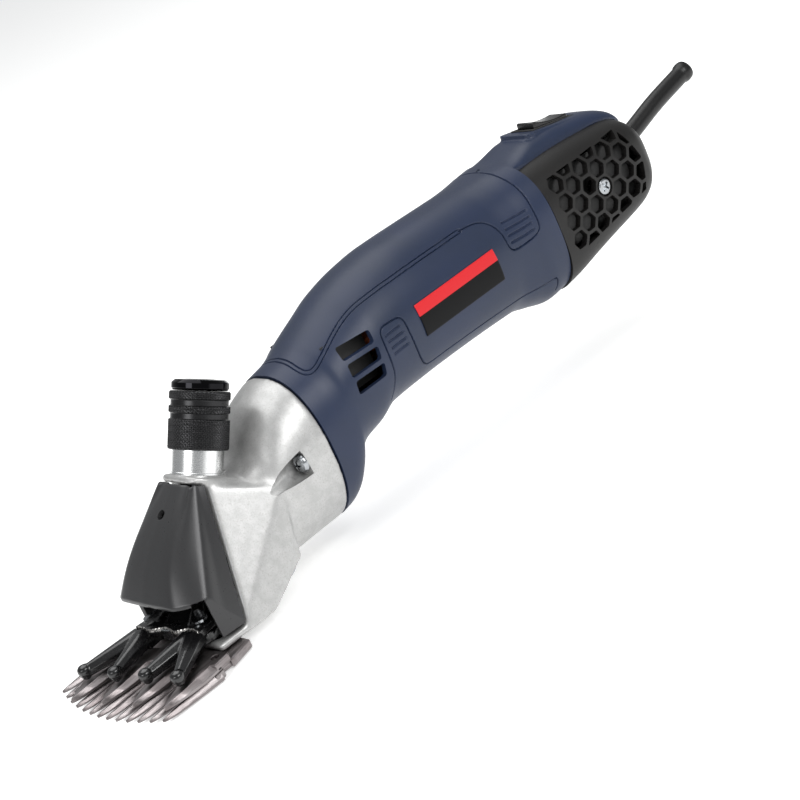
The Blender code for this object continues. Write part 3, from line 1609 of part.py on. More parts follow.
def build_cord_guard():
    """The moulded rubber guard: a hollow sleeve that curves up to a beaded mouth."""
    route = [
        (0, 0.2640, MOTOR_Z),
        (0, 0.2800, MOTOR_Z),
        (0, 0.2900, MOTOR_Z + 0.0012),
        (0, 0.3020, MOTOR_Z + 0.0041),
        (0, 0.3200, MOTOR_Z + 0.0087),
        (0, 0.3360, MOTOR_Z + 0.0117),
        (0, 0.3440, MOTOR_Z + 0.0131),
    ]
    rubber = material("rubber", (0.012, 0.012, 0.012), 0.6)
    guard = tube_along("cord_guard", route, GUARD_RADIUS, rubber, 3)
    end = Vector(route[-1])
    along = (end - Vector(route[-2])).normalized()
    bead = ball("guard_bead", GUARD_BEAD_RADIUS, end - along * 0.0020, sides=16)
    join(guard, bead)
    bore = tube_along(
        "guard_bore",
        [(0, 0.2600, MOTOR_Z)] + route[1:-1] + [tuple(end + along * 0.006)],
        GUARD_BORE,
        sides=2,
    )
    cut(guard, bore)


def main():
    global parts, cutters
    clear_scene()
    parts = new_collection("electric_sheep_shears")
    cutters = new_collection("cutters")
    cutters.hide_render = True
    build_comb()
    build_comb_screws()
    build_fork()
    build_crank()
    build_bearing_plate()
    build_head()
    build_head_screws()
    build_oil_plug()
    build_front_cover()
    build_tension()
    build_armature()
    build_stator()
    build_housing()
    build_switch()
    build_rear_covers()
    build_rear_insides()
    build_cord_guard()


main()
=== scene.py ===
"""Electric sheep shears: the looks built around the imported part, one class per sub-assembly.

Shapes are worked in millimetres in the part's own frame and scaled to metres when they are published.
"""

import logging
from collections.abc import Callable, Sequence
from dataclasses import dataclass
from enum import Enum
from functools import cached_property
from math import cos, pi, radians, sin, sqrt, tau

import bmesh
import bpy
import numpy as np
from mathutils import Matrix, Vector

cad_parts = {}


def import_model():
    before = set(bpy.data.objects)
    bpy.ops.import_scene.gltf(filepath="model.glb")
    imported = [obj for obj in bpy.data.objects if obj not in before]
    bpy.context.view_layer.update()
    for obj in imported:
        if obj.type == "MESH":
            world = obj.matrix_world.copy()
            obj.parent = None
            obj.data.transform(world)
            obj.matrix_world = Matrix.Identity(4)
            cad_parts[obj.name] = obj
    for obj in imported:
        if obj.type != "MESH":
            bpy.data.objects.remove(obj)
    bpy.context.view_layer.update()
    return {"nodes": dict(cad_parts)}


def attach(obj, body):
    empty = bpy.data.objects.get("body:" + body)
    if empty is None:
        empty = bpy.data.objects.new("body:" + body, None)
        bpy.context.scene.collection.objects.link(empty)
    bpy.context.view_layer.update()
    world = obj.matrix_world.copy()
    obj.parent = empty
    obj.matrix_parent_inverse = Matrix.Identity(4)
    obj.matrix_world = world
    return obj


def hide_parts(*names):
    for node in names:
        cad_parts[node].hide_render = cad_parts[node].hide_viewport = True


log = logging.getLogger("shears")

MM = 0.001
MERGE = 1e-4

TINY = 1e-9

Shape = bmesh.types.BMesh
Point = tuple[float, float, float]

# The neck and the knob on it lean back from the vertical, in degrees.
NECK_LEAN = 32.0
NECK_AXIS = Vector((0, sin(radians(NECK_LEAN)), cos(radians(NECK_LEAN))))
NECK_FOOT = Vector((0, 35.17, 55.84))
KNOB_FOOT = Vector((0, 40.2, 63.9))
# The fork swings about the upright line through this place.
FULCRUM = Vector((0.0, 19.0, 0.0))
UPRIGHT = (0, 0, 1)


class Body(Enum):
    """The moving bodies that a piece can ride on."""

    HEAD = "head"
    FORK = "fork"
    KNOB = "knob"
    ROCKER = "rocker"


class Side(Enum):
    """Which side of the middle plane a mirrored piece is on."""

    LEFT = -1
    RIGHT = 1

    @property
    def word(self) -> str:
        """The side as it stands in a piece's name."""
        return self.name.lower()


# ---------------------------------------------------------------- finishes


def linear(value: str) -> tuple[float, float, float, float]:
    """Turns an sRGB hex value into the linear colour that a socket takes.

    Args:
        value: The colour as #rrggbb.

    Returns:
        Red, green, blue and alpha.
    """
    parts = [int(value[i : i + 2], 16) / 255 for i in (1, 3, 5)]
    red, green, blue = (v / 12.92 if v <= 0.04045 else ((v + 0.055) / 1.055) ** 2.4 for v in parts)
    return (red, green, blue, 1.0)


def add_node(
    tree: bpy.types.NodeTree,
    kind: str,
    settings: dict[str, object] | None = None,
    inputs: dict[str | int, object] | None = None,
) -> bpy.types.Node:
    """Adds a node with its settings, socket values and incoming links.

    Args:
        tree: The node tree it goes in.
        kind: The node's type name.
        settings: Attributes to set on the node.
        inputs: A value or an output socket for each named or numbered input.

    Returns:
        The node.
    """
    node = tree.nodes.new(kind)
    for key, value in (settings or {}).items():
        setattr(node, key, value)
    for key, value in (inputs or {}).items():
        if isinstance(value, bpy.types.NodeSocket):
            tree.links.new(value, node.inputs[key])
        else:
            node.inputs[key].default_value = value
    return node


@dataclass(frozen=True)
class Finish:
    """A surface: its colour, shine, and the grain its making leaves.

    A broad cloud mixes the second colour in, and a fine grain moves the roughness and the bump.
    """

    name: str
    colour: str
    roughness: float
    metallic: float = 0.0
    coat: float = 0.0
    gloss: float = 0.5
    cloud_colour: str = ""
    cloud_mm: float = 8.0
    grain_mm: float = 0.5
    grain_stretch: Point = (1.0, 1.0, 1.0)
    grain_roughness: float = 0.05
    bump_mm: float = 0.0
    speckle: str = ""
    speckle_mm: float = 0.5

    def material(self) -> bpy.types.Material:
        """Gives the finish's material, built the first time that it is asked for."""
        return bpy.data.materials.get(self.name) or self.make()

    def make(self) -> bpy.types.Material:
        """Builds the material's nodes.

        Returns:
            The new material.
        """
        made = bpy.data.materials.new(self.name)
        made.use_nodes = True
        tree = made.node_tree
        shader = tree.nodes["Principled BSDF"]
        shader.inputs["Metallic"].default_value = self.metallic
        shader.inputs["Coat Weight"].default_value = self.coat
        shader.inputs["Specular IOR Level"].default_value = self.gloss
        shader.inputs["Coat Roughness"].default_value = 0.08
        place = add_node(tree, "ShaderNodeTexCoord").outputs["Object"]
        grain = self.noise(tree, place, self.grain_mm, self.grain_stretch, 5.0)
        spread = self.grain_roughness
        rough = add_node(
            tree,
            "ShaderNodeMapRange",
            inputs={
                "Value": grain,
                1: 0.3,
                2: 0.7,
                3: max(self.roughness - spread, 0.02),
                4: self.roughness + spread,
            },
        )
        tree.links.new(rough.outputs[0], shader.inputs["Roughness"])
        self.paint(tree, place, shader.inputs["Base Color"], grain)
        if self.bump_mm:
            bump = add_node(
                tree,
                "ShaderNodeBump",
                inputs={"Strength": 1.0, "Distance": self.bump_mm * MM, "Height": grain},
            )
            tree.links.new(bump.outputs["Normal"], shader.inputs["Normal"])
        return made

    def noise(
        self,
        tree: bpy.types.NodeTree,
        place: bpy.types.NodeSocket,
        size_mm: float,
        stretch: Point,
        detail: float,
    ) -> bpy.types.NodeSocket:
        """Adds a cloud pattern of a real size.

        Args:
            tree: The material's nodes.
            place: The coordinates.
            size_mm: The width of one blotch.
            stretch: How much longer the blotches are along each axis.
            detail: How many finer layers lie on top.

        Returns:
            The pattern's value.
        """
        scale = tuple(1 / (size_mm * MM * s) for s in stretch)
        mapped = add_node(tree, "ShaderNodeMapping", inputs={"Vector": place, "Scale": scale})
        pattern = add_node(
            tree,
            "ShaderNodeTexNoise",
            inputs={"Vector": mapped.outputs[0], "Scale": 1.0, "Detail": detail, "Roughness": 0.6},
        )
        return pattern.outputs["Fac"]

    def paint(
        self,
        tree: bpy.types.NodeTree,
        place: bpy.types.NodeSocket,
        target: bpy.types.NodeSocket,
        grain: bpy.types.NodeSocket,
    ) -> None:
        """Feeds the base colour.

        Args:
            tree: The material's nodes.
            place: The coordinates.
            target: The socket that takes the colour.
            grain: The fine pattern, which is not used.
        """
        target.default_value = linear(self.colour)
        colour = None
        if self.cloud_colour:
            cloud = self.noise(tree, place, self.cloud_mm, self.grain_stretch, 3.0)
            colour = self.mixed(tree, cloud, (0.35, 0.65), linear(self.colour), linear(self.cloud_colour))
        if self.speckle:
            fine = self.noise(tree, place, self.speckle_mm, (1.0, 1.0, 1.0), 2.0)
            colour = self.mixed(tree, fine, (0.52, 0.72), colour or linear(self.colour), linear(self.speckle))
        if colour:
            tree.links.new(colour, target)

    def mixed(
        self,
        tree: bpy.types.NodeTree,
        value: bpy.types.NodeSocket,
        ends: tuple[float, float],
        first: object,
        second: object,
    ) -> bpy.types.NodeSocket:
        """Mixes two colours by a pattern.

        Args:
            tree: The material's nodes.
            value: The pattern.
            ends: The pattern's values that give all of the first and all of the second.
            first: A colour or a colour socket.
            second: A colour or a colour socket.

        Returns:
            The mixed colour.
        """
        factor = add_node(tree, "ShaderNodeMapRange", inputs={"Value": value, 1: ends[0], 2: ends[1]})
        mix = add_node(
            tree, "ShaderNodeMix", {"data_type": "RGBA"}, {0: factor.outputs[0], 6: first, 7: second}
        )
        return mix.outputs[2]


@dataclass(frozen=True)
class BandedLabel(Finish):
    """A printed film: a coloured band above a plain field, split at one height."""

    band: str = "#cc2b30"
    split_mm: float = 65.6

    def paint(
        self,
        tree: bpy.types.NodeTree,
        place: bpy.types.NodeSocket,
        target: bpy.types.NodeSocket,
        grain: bpy.types.NodeSocket,
    ) -> None:
        """Splits the base colour at one height.

        Args:
            tree: The material's nodes.
            place: The coordinates.
            target: The socket that takes the colour.
            grain: The fine pattern, which the print doesn't follow.
        """
        height = add_node(tree, "ShaderNodeSeparateXYZ", inputs={0: place}).outputs["Z"]
        ends = ((self.split_mm - 0.05) * MM, (self.split_mm + 0.05) * MM)
        colour = self.mixed(tree, height, ends, linear(self.colour), linear(self.band))
        tree.links.new(colour, target)


@dataclass(frozen=True)
class WornEnamel(Finish):
    """Stoved enamel rubbed back to the metal where the piece's "bare" attribute says."""

    metal: str = "#c9c6c2"

    def make(self) -> bpy.types.Material:
        """Builds the enamel, then lets bare metal through by the attribute and a ragged pattern.

        Returns:
            The new material.
        """
        made = Finish.make(self)
        tree = made.node_tree
        shader = tree.nodes["Principled BSDF"]
        place = add_node(tree, "ShaderNodeTexCoord").outputs["Object"]
        ragged = self.noise(tree, place, 1.6, (1.0, 1.0, 1.0), 4.0)
        bare = add_node(tree, "ShaderNodeAttribute", {"attribute_name": "bare"}).outputs["Fac"]
        shift = add_node(tree, "ShaderNodeMath", {"operation": "ADD"}, {0: bare, 1: ragged}).outputs[0]
        worn = add_node(tree, "ShaderNodeMapRange", inputs={"Value": shift, 1: 1.02, 2: 1.16}).outputs[0]
        mix = add_node(
            tree,
            "ShaderNodeMix",
            {"data_type": "RGBA"},
            {0: worn, 6: linear(self.colour), 7: linear(self.metal)},
        )
        tree.links.new(mix.outputs[2], shader.inputs["Base Color"])
        tree.links.new(worn, shader.inputs["Metallic"])
        return made


# Glass-filled nylon, moulded with a fine spark texture: an even satin with soft, wide highlights.
NAVY_NYLON = Finish(
    "navy_nylon_moulded",
    "#1e2942",
    0.4,
    gloss=0.4,
    cloud_colour="#1c273d",
    cloud_mm=30.0,
    grain_mm=0.45,
    bump_mm=0.012,
)
# The same nylon in charcoal for the rear covers: greyer and a touch rougher.
CHARCOAL_NYLON = Finish(
    "charcoal_nylon_moulded",
    "#171616",
    0.44,
    gloss=0.3,
    cloud_colour="#191817",
    cloud_mm=20.0,
    grain_mm=0.4,
    bump_mm=0.014,
)
# Powder-coated steel pressing over the head: mid grey, satin, with long soft gradients.
GREY_PRESSING = Finish(
    "grey_powder_coat", "#343435", 0.3, metallic=0.25, grain_mm=0.8, grain_roughness=0.03, bump_mm=0.002
)
# Die-cast aluminium, tumbled and lacquered: pale, pearly, with sandy specks under the lacquer.
CAST_ALLOY = Finish(
    "cast_aluminium_tumbled", "#b9b9b8", 0.4, metallic=0.6, cloud_colour="#adadac", cloud_mm=4.0,
    grain_mm=0.6, bump_mm=0.03, speckle="#a6a5a3", speckle_mm=0.6,
)
# Bare aluminium from the lathe: bright, with fine rings across the axis.
MACHINED_ALLOY = Finish(
    "machined_aluminium", "#dcdddd", 0.26, metallic=1.0, grain_mm=0.5, grain_roughness=0.03
)
# Hardened tool steel, ground along its teeth: grey with a faint warm tint and straight scratches.
GROUND_STEEL = Finish(
    "ground_tool_steel", "#8f8a8a", 0.36, metallic=1.0, cloud_colour="#6f6868", cloud_mm=2.2,
    grain_mm=0.22, grain_stretch=(1.0, 22.0, 1.0), grain_roughness=0.1, bump_mm=0.01,
)
# Zinc-plated screws and pins: bright and slightly blue.
BRIGHT_STEEL = Finish("zinc_plated_steel", "#a4a7aa", 0.24, metallic=1.0, grain_mm=0.6, bump_mm=0.002)
# Stoved black enamel over a casting: deep black, glossy, worn to metal on its front edge.
BLACK_ENAMEL = WornEnamel("black_enamel_worn", "#0c0c0d", 0.24, coat=0.4, grain_mm=1.4, bump_mm=0.05)
# Black oxide on knurled steel: dull dark grey in which each point glints.
BLACK_OXIDE = Finish("black_oxide_knurled", "#303031", 0.3, metallic=0.85, grain_mm=0.4)
# Polished black chrome on the cap and in the knob's grooves.
BLACK_CHROME = Finish(
    "black_chrome_polished", "#1d1d1f", 0.07, metallic=1.0, grain_mm=2.0, grain_roughness=0.02
)
# Soft black rubber on the cord guard: nearly matt, with a long dull highlight.
GUARD_RUBBER = Finish("black_rubber_moulded", "#0c0c0c", 0.36, gloss=0.4, grain_mm=0.6, bump_mm=0.008)
# Glossy black plastic on the rocker.
GLOSS_PLASTIC = Finish("gloss_black_plastic", "#0b0b0c", 0.26, coat=0.1, grain_mm=2.0, grain_roughness=0.02)
# Black moulding inside the case.
PLAIN_PLASTIC = Finish("black_nylon_plain", "#1a1a1a", 0.5, grain_mm=0.5)
# Screen-printed film: satin, with an even print whose band ends on a sharp line 0.1 mm wide.
LABEL_FILM = BandedLabel("printed_label_film", "#050506", 0.4, gloss=0.15, grain_mm=1.0, grain_roughness=0.02)
# Stacked silicon-steel laminations: dull, striped across the shaft.
LAMINATION = Finish(
    "steel_laminations",
    "#6f7073",
    0.45,
    metallic=0.9,
    cloud_colour="#3f4043",
    cloud_mm=0.6,
    grain_stretch=(40.0, 1.0, 40.0),
)
# Enamelled copper wire in the windings: orange-brown with a varnish shine.
COPPER_WIRE = Finish(
    "enamelled_copper",
    "#7a3f22",
    0.32,
    metallic=0.8,
    cloud_colour="#542a17",
    cloud_mm=0.5,
    grain_stretch=(8.0, 1.0, 8.0),
)
# Brass strip of the brush holders.
BRASS_STRIP = Finish("brass_strip", "#b89452", 0.28, metallic=1.0)
# Pressed carbon brushes.
CARBON = Finish("pressed_carbon", "#232324", 0.55, grain_mm=0.3, bump_mm=0.01)
# The capacitor's yellow film case.
FILM_CASE = Finish("capacitor_film_case", "#c9a13b", 0.35, coat=0.2)


# ---------------------------------------------------------------- shapes


def curve_through(keys: Sequence[float], values: Sequence[float], at: np.ndarray) -> np.ndarray:
    """Reads values off a smooth curve through points, one that never overshoots them.

    Args:
        keys: Where the points lie, rising.
        values: Their values.
        at: Where to read the curve.

    Returns:
        The values there.
    """
    x, y = np.asarray(keys, float), np.asarray(values, float)
    step = np.diff(x)
    slope = np.diff(y) / step
    tangent = np.zeros_like(y)
    before, after = 2 * step[1:] + step[:-1], step[1:] + 2 * step[:-1]
    with np.errstate(divide="ignore", invalid="ignore"):
        mean = (before + after) / (before / slope[:-1] + after / slope[1:])
    tangent[1:-1] = np.where(slope[:-1] * slope[1:] > 0, mean, 0.0)
    tangent[0], tangent[-1] = slope[0], slope[-1]
    i = np.clip(np.searchsorted(x, at) - 1, 0, len(step) - 1)
    t = np.clip((at - x[i]) / step[i], 0.0, 1.0)
    return (
        y[i] * (1 + 2 * t) * (1 - t) ** 2
        + y[i + 1] * t * t * (3 - 2 * t)
        + step[i] * (tangent[i] * t * (1 - t) ** 2 - tangent[i + 1] * t * t * (1 - t))
    )


def smoothstep(low: float, high: float, value: float) -> float:
    """Rises smoothly from 0 at low to 1 at high."""
    t = min(max((value - low) / (high - low), 0.0), 1.0)
    return t * t * (3 - 2 * t)


def along_axis(direction: Sequence[float]) -> Matrix:
    """Turns +Z to the given direction."""
    return Vector((0, 0, 1)).rotation_difference(Vector(direction)).to_matrix().to_4x4()


def skin_through(rings: Sequence[Sequence[Point]], ends: bool = True) -> Shape:
    """Wraps a skin round rings of equal numbers of points.

    Args:
        rings: The rings in order, each a closed loop.
        ends: Whether the first and last ring are closed with a face.

    Returns:
        The shape.
    """
    shape = bmesh.new()
    around, along = len(rings[0]), len(rings) - 1
    bmesh.ops.create_grid(shape, x_segments=around, y_segments=along, size=1.0)
    for vert in shape.verts:
        column = round((vert.co.x + 1) / 2 * around) % around
        row = round((vert.co.y + 1) / 2 * along)
        vert.co = rings[row][column]
    bmesh.ops.remove_doubles(shape, verts=shape.verts, dist=MERGE)
    if ends:
        bmesh.ops.holes_fill(shape, edges=shape.edges, sides=0)
    return shape


def raised(shape: Shape, height: float) -> Shape:
    """Extrudes a flat shape straight up.

    Args:
        shape: The shape to change.
        height: How far it is extruded.

    Returns:
        The same shape.
    """
    grown = bmesh.ops.extrude_face_region(shape, geom=shape.faces[:])["geom"]
    lifted = [item for item in grown if isinstance(item, bmesh.types.BMVert)]
    bmesh.ops.translate(shape, vec=(0, 0, height), verts=lifted)
    return shape


def plate(outline: Sequence[tuple[float, float]], low: float, high: float) -> Shape:
    """Extrudes an outline in X and Y.

    Args:
        outline: The corners in order.
        low: The height of the lower face.
        high: The height of the upper face.

    Returns:
        The closed shape.
    """
    shape = bmesh.new()
    shape.faces.new([shape.verts.new((x, y, low)) for x, y in outline])
    return raised(shape, high - low)


def side_plate(outline: Sequence[tuple[float, float]], half: float) -> Shape:
    """Extrudes an outline in Y and Z to both sides of the middle plane.

    Args:
        outline: The corners in order, as (y, z).
        half: How far it reaches to each side.

    Returns:
        The closed shape.
    """
    shape = plate(outline, -half, half)
    return moved(shape, Matrix(((0, 0, 1, 0), (1, 0, 0, 0), (0, 1, 0, 0), (0, 0, 0, 1))))


def block(low: Point, high: Point) -> Shape:
    """Makes a box.

    Args:
        low: Its lowest corner.
        high: Its highest corner.

    Returns:
        The closed shape.
    """
    shape = bmesh.new()
    middle = [(a + b) / 2 for a, b in zip(low, high)]
    size = [b - a for a, b in zip(low, high)]
    matrix = Matrix.Translation(middle) @ Matrix.Diagonal((*size, 1.0))
    bmesh.ops.create_cube(shape, size=1.0, matrix=matrix)
    return shape


def cross_recess(
    top: Sequence[float], axis: Sequence[float], arm: float, web: float, depth: float, turn: float = 0.0
) -> list[Shape]:
    """Makes the two cutters for a screw's cross recess.

    Args:
        top: The middle of the recess, where the cutters start.
        axis: The direction in which they reach.
        arm: Half the length of each arm.
        web: Half the width of each arm.
        depth: How far they reach.
        turn: How far the cross is turned, in degrees.

    Returns:
        Both cutters.
    """
    place = Matrix.Translation(top) @ along_axis(axis) @ Matrix.Rotation(radians(turn), 4, "Z")
    return [moved(block((-a, -b, 0.0), (a, b, depth)), place) for a, b in ((arm, web), (web, arm))]


def turned(
    profile: Sequence[tuple[float, float]], base: Sequence[float], axis: Sequence[float], steps: int = 64
) -> Shape:
    """Spins a profile of radius and height about an axis.

    Args:
        profile: The points, starting and ending on the axis or closing on themselves.
        base: Where the height is nought.
        axis: The direction of the height.
        steps: How many facets go round.

    Returns:
        The closed shape.
    """
    shape = bmesh.new()
    verts = [shape.verts.new((radius, 0, height)) for radius, height in profile]
    edges = [shape.edges.new(pair) for pair in zip(verts, verts[1:])]
    bmesh.ops.spin(
        shape, geom=verts + edges, axis=(0, 0, 1), cent=(0, 0, 0), steps=steps, angle=tau, use_merge=True
    )
    bmesh.ops.remove_doubles(shape, verts=shape.verts, dist=MERGE)
    bmesh.ops.transform(shape, matrix=Matrix.Translation(base) @ along_axis(axis), verts=shape.verts)
    return shape


def rod(start: Sequence[float], end: Sequence[float], first: float, last: float, steps: int = 40) -> Shape:
    """Makes a round bar that tapers from one radius to another."""
    line = Vector(end) - Vector(start)
    return turned([(0, 0), (first, 0), (last, line.length), (0, line.length)], start, line, steps)


def joined(*shapes: Shape) -> Shape:
    """Puts several shapes in one, each still its own closed shell.

    Args:
        *shapes: The shapes, which are used up.

    Returns:
        The new shape.
    """
    whole = bmesh.new()
    for shape in shapes:
        bmesh.ops.recalc_face_normals(shape, faces=shape.faces)
        mesh = bpy.data.meshes.new("part")
        shape.to_mesh(mesh)
        shape.free()
        whole.from_mesh(mesh)
        bpy.data.meshes.remove(mesh)
    return whole


def chamfered(shape: Shape, width: float, segments: int = 1, least: float = 30.0) -> Shape:
    """Bevels each edge sharper than an angle.

    Args:
        shape: The shape to change.
        width: The bevel's width.
        segments: How many facets the bevel has.
        least: The smallest angle between faces that is bevelled, in degrees.

    Returns:
        The same shape.
    """
    bmesh.ops.recalc_face_normals(shape, faces=shape.faces)
    sharp = [e for e in shape.edges if e.is_manifold and abs(e.calc_face_angle(0.0)) > radians(least)]
    bmesh.ops.bevel(
        shape,
        geom=sharp,
        offset=width,
        segments=segments,
        profile=0.5,
        affect="EDGES",
        material=-1,
        clamp_overlap=True,
    )
    return shape


def moved(shape: Shape, matrix: Matrix) -> Shape:
    """Applies a matrix to the whole shape."""
    bmesh.ops.transform(shape, matrix=matrix, verts=shape.verts)
    return shape


def to_mesh(shape: Shape, name: str) -> bpy.types.Mesh:
    """Writes a shape to a mesh, faces outwards.

    Args:
        shape: The shape, which is used up.
        name: The mesh's name.

    Returns:
        The mesh.
    """
    bmesh.ops.recalc_face_normals(shape, faces=shape.faces)
    mesh = bpy.data.meshes.new(name)
    shape.to_mesh(mesh)
    shape.free()
    return mesh


class Workpiece:
    """A mesh object in millimetres that modifiers are applied to, one after another."""

    def __init__(self, shape: Shape, name: str) -> None:
        """Puts the shape in the scene.

        Args:
            shape: The shape to start from, which is used up.
            name: The finished piece's name.
        """
        self.name = name
        self.object = bpy.data.objects.new(name, to_mesh(shape, name))
        bpy.context.scene.collection.objects.link(self.object)

    def apply(self, kind: str, **settings: object) -> "Workpiece":
        """Runs one modifier and keeps its result.

        Args:
            kind: The modifier's type.
            **settings: Its settings.

        Returns:
            This workpiece.
        """
        modifier = self.object.modifiers.new(kind.lower(), kind)
        for key, value in settings.items():
            setattr(modifier, key, value)
        graph = bpy.context.evaluated_depsgraph_get()
        result = bpy.data.meshes.new_from_object(self.object.evaluated_get(graph))
        old = self.object.data
        self.object.modifiers.clear()
        self.object.data = result
        bpy.data.meshes.remove(old)
        return self

    def carve(self, *cutters: Shape) -> "Workpiece":
        """Cuts shapes out of the piece, one after another.

        Args:
            *cutters: The shapes, which are used up.

        Returns:
            This workpiece.
        """
        for cutter in cutters:
            tool = Workpiece(cutter, self.name + "_cutter")
            self.apply("BOOLEAN", operation="DIFFERENCE", object=tool.object)
            bpy.data.objects.remove(tool.object)
        return self

    def with_shells(self, *shapes: Shape) -> "Workpiece":
        """Adds closed shells that overlap the piece without being welded to it.

        Args:
            *shapes: The shells, which are used up.

        Returns:
            This workpiece.
        """
        whole = joined(*shapes)
        whole.from_mesh(self.object.data)
        old = self.object.data
        self.object.data = to_mesh(whole, self.name)
        bpy.data.meshes.remove(old)
        return self

    def walled(self, thickness: float) -> "Workpiece":
        """Gives an open skin a wall on its inner side."""
        return self.apply(
            "SOLIDIFY", thickness=thickness, offset=-1.0, use_even_offset=True, use_quality_normals=True
        )

    def softened(self, voxel: float, rounds: int) -> "Workpiece":
        """Welds overlapping shells into one casting with filleted joins."""
        self.apply("REMESH", mode="VOXEL", voxel_size=voxel, adaptivity=0.0)
        return self.apply("SMOOTH", factor=0.5, iterations=rounds)

    def eased(self, width: float, segments: int = 2, least: float = 32.0) -> "Workpiece":
        """Rounds the sharp edges so that they catch the light.

        Args:
            width: How wide the rounding is.
            segments: How many facets it has.
            least: The smallest angle between faces that is rounded, in degrees.

        Returns:
            This workpiece.
        """
        return self.apply(
            "BEVEL",
            width=width,
            segments=segments,
            limit_method="ANGLE",
            angle_limit=radians(least),
            profile=0.5,
        )

    def publish(
        self,
        finish: Finish | Sequence[Finish],
        slot: str,
        body: Body,
        stands_for: Sequence[str] = (),
        smooth: float = 35.0,
        bare: Callable[[Vector], float] | None = None,
    ) -> bpy.types.Object:
        """Scales the piece to metres, dresses it and hands it to its body.

        Args:
            finish: One finish, or one for each material index.
            slot: The record's material slot, which is not used.
            body: The body that it moves with.
            stands_for: The part's nodes that it is shown in place of.
            smooth: Edges sharper than this stay sharp, in degrees.
            bare: Gives how worn the surface is at a place in millimetres.

        Returns:
            The finished object.
        """
        mesh = self.object.data
        if bare:
            layer = mesh.attributes.new("bare", "FLOAT", "POINT")
            layer.data.foreach_set("value", [bare(v.co) for v in mesh.vertices])
        mesh.transform(Matrix.Scale(MM, 4))
        mesh.materials.clear()
        for one in [finish] if isinstance(finish, Finish) else finish:
            mesh.materials.append(one.material())
        mesh.shade_smooth()
        mesh.set_sharp_from_angle(angle=radians(smooth))
        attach(self.object, body.value)
        if stands_for:
            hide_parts(*stands_for)
        log.info("%s: %d faces, rides on %s", self.name, len(mesh.polygons), body.value)
        return self.object


# ---------------------------------------------------------------- skins with a section that changes


@dataclass(frozen=True)
class Station:
    """One cross-section: where it is, its half width, top, bottom and how square it is."""

    y: float
    half: float
    top: float
    bottom: float
    square: float = 2.2


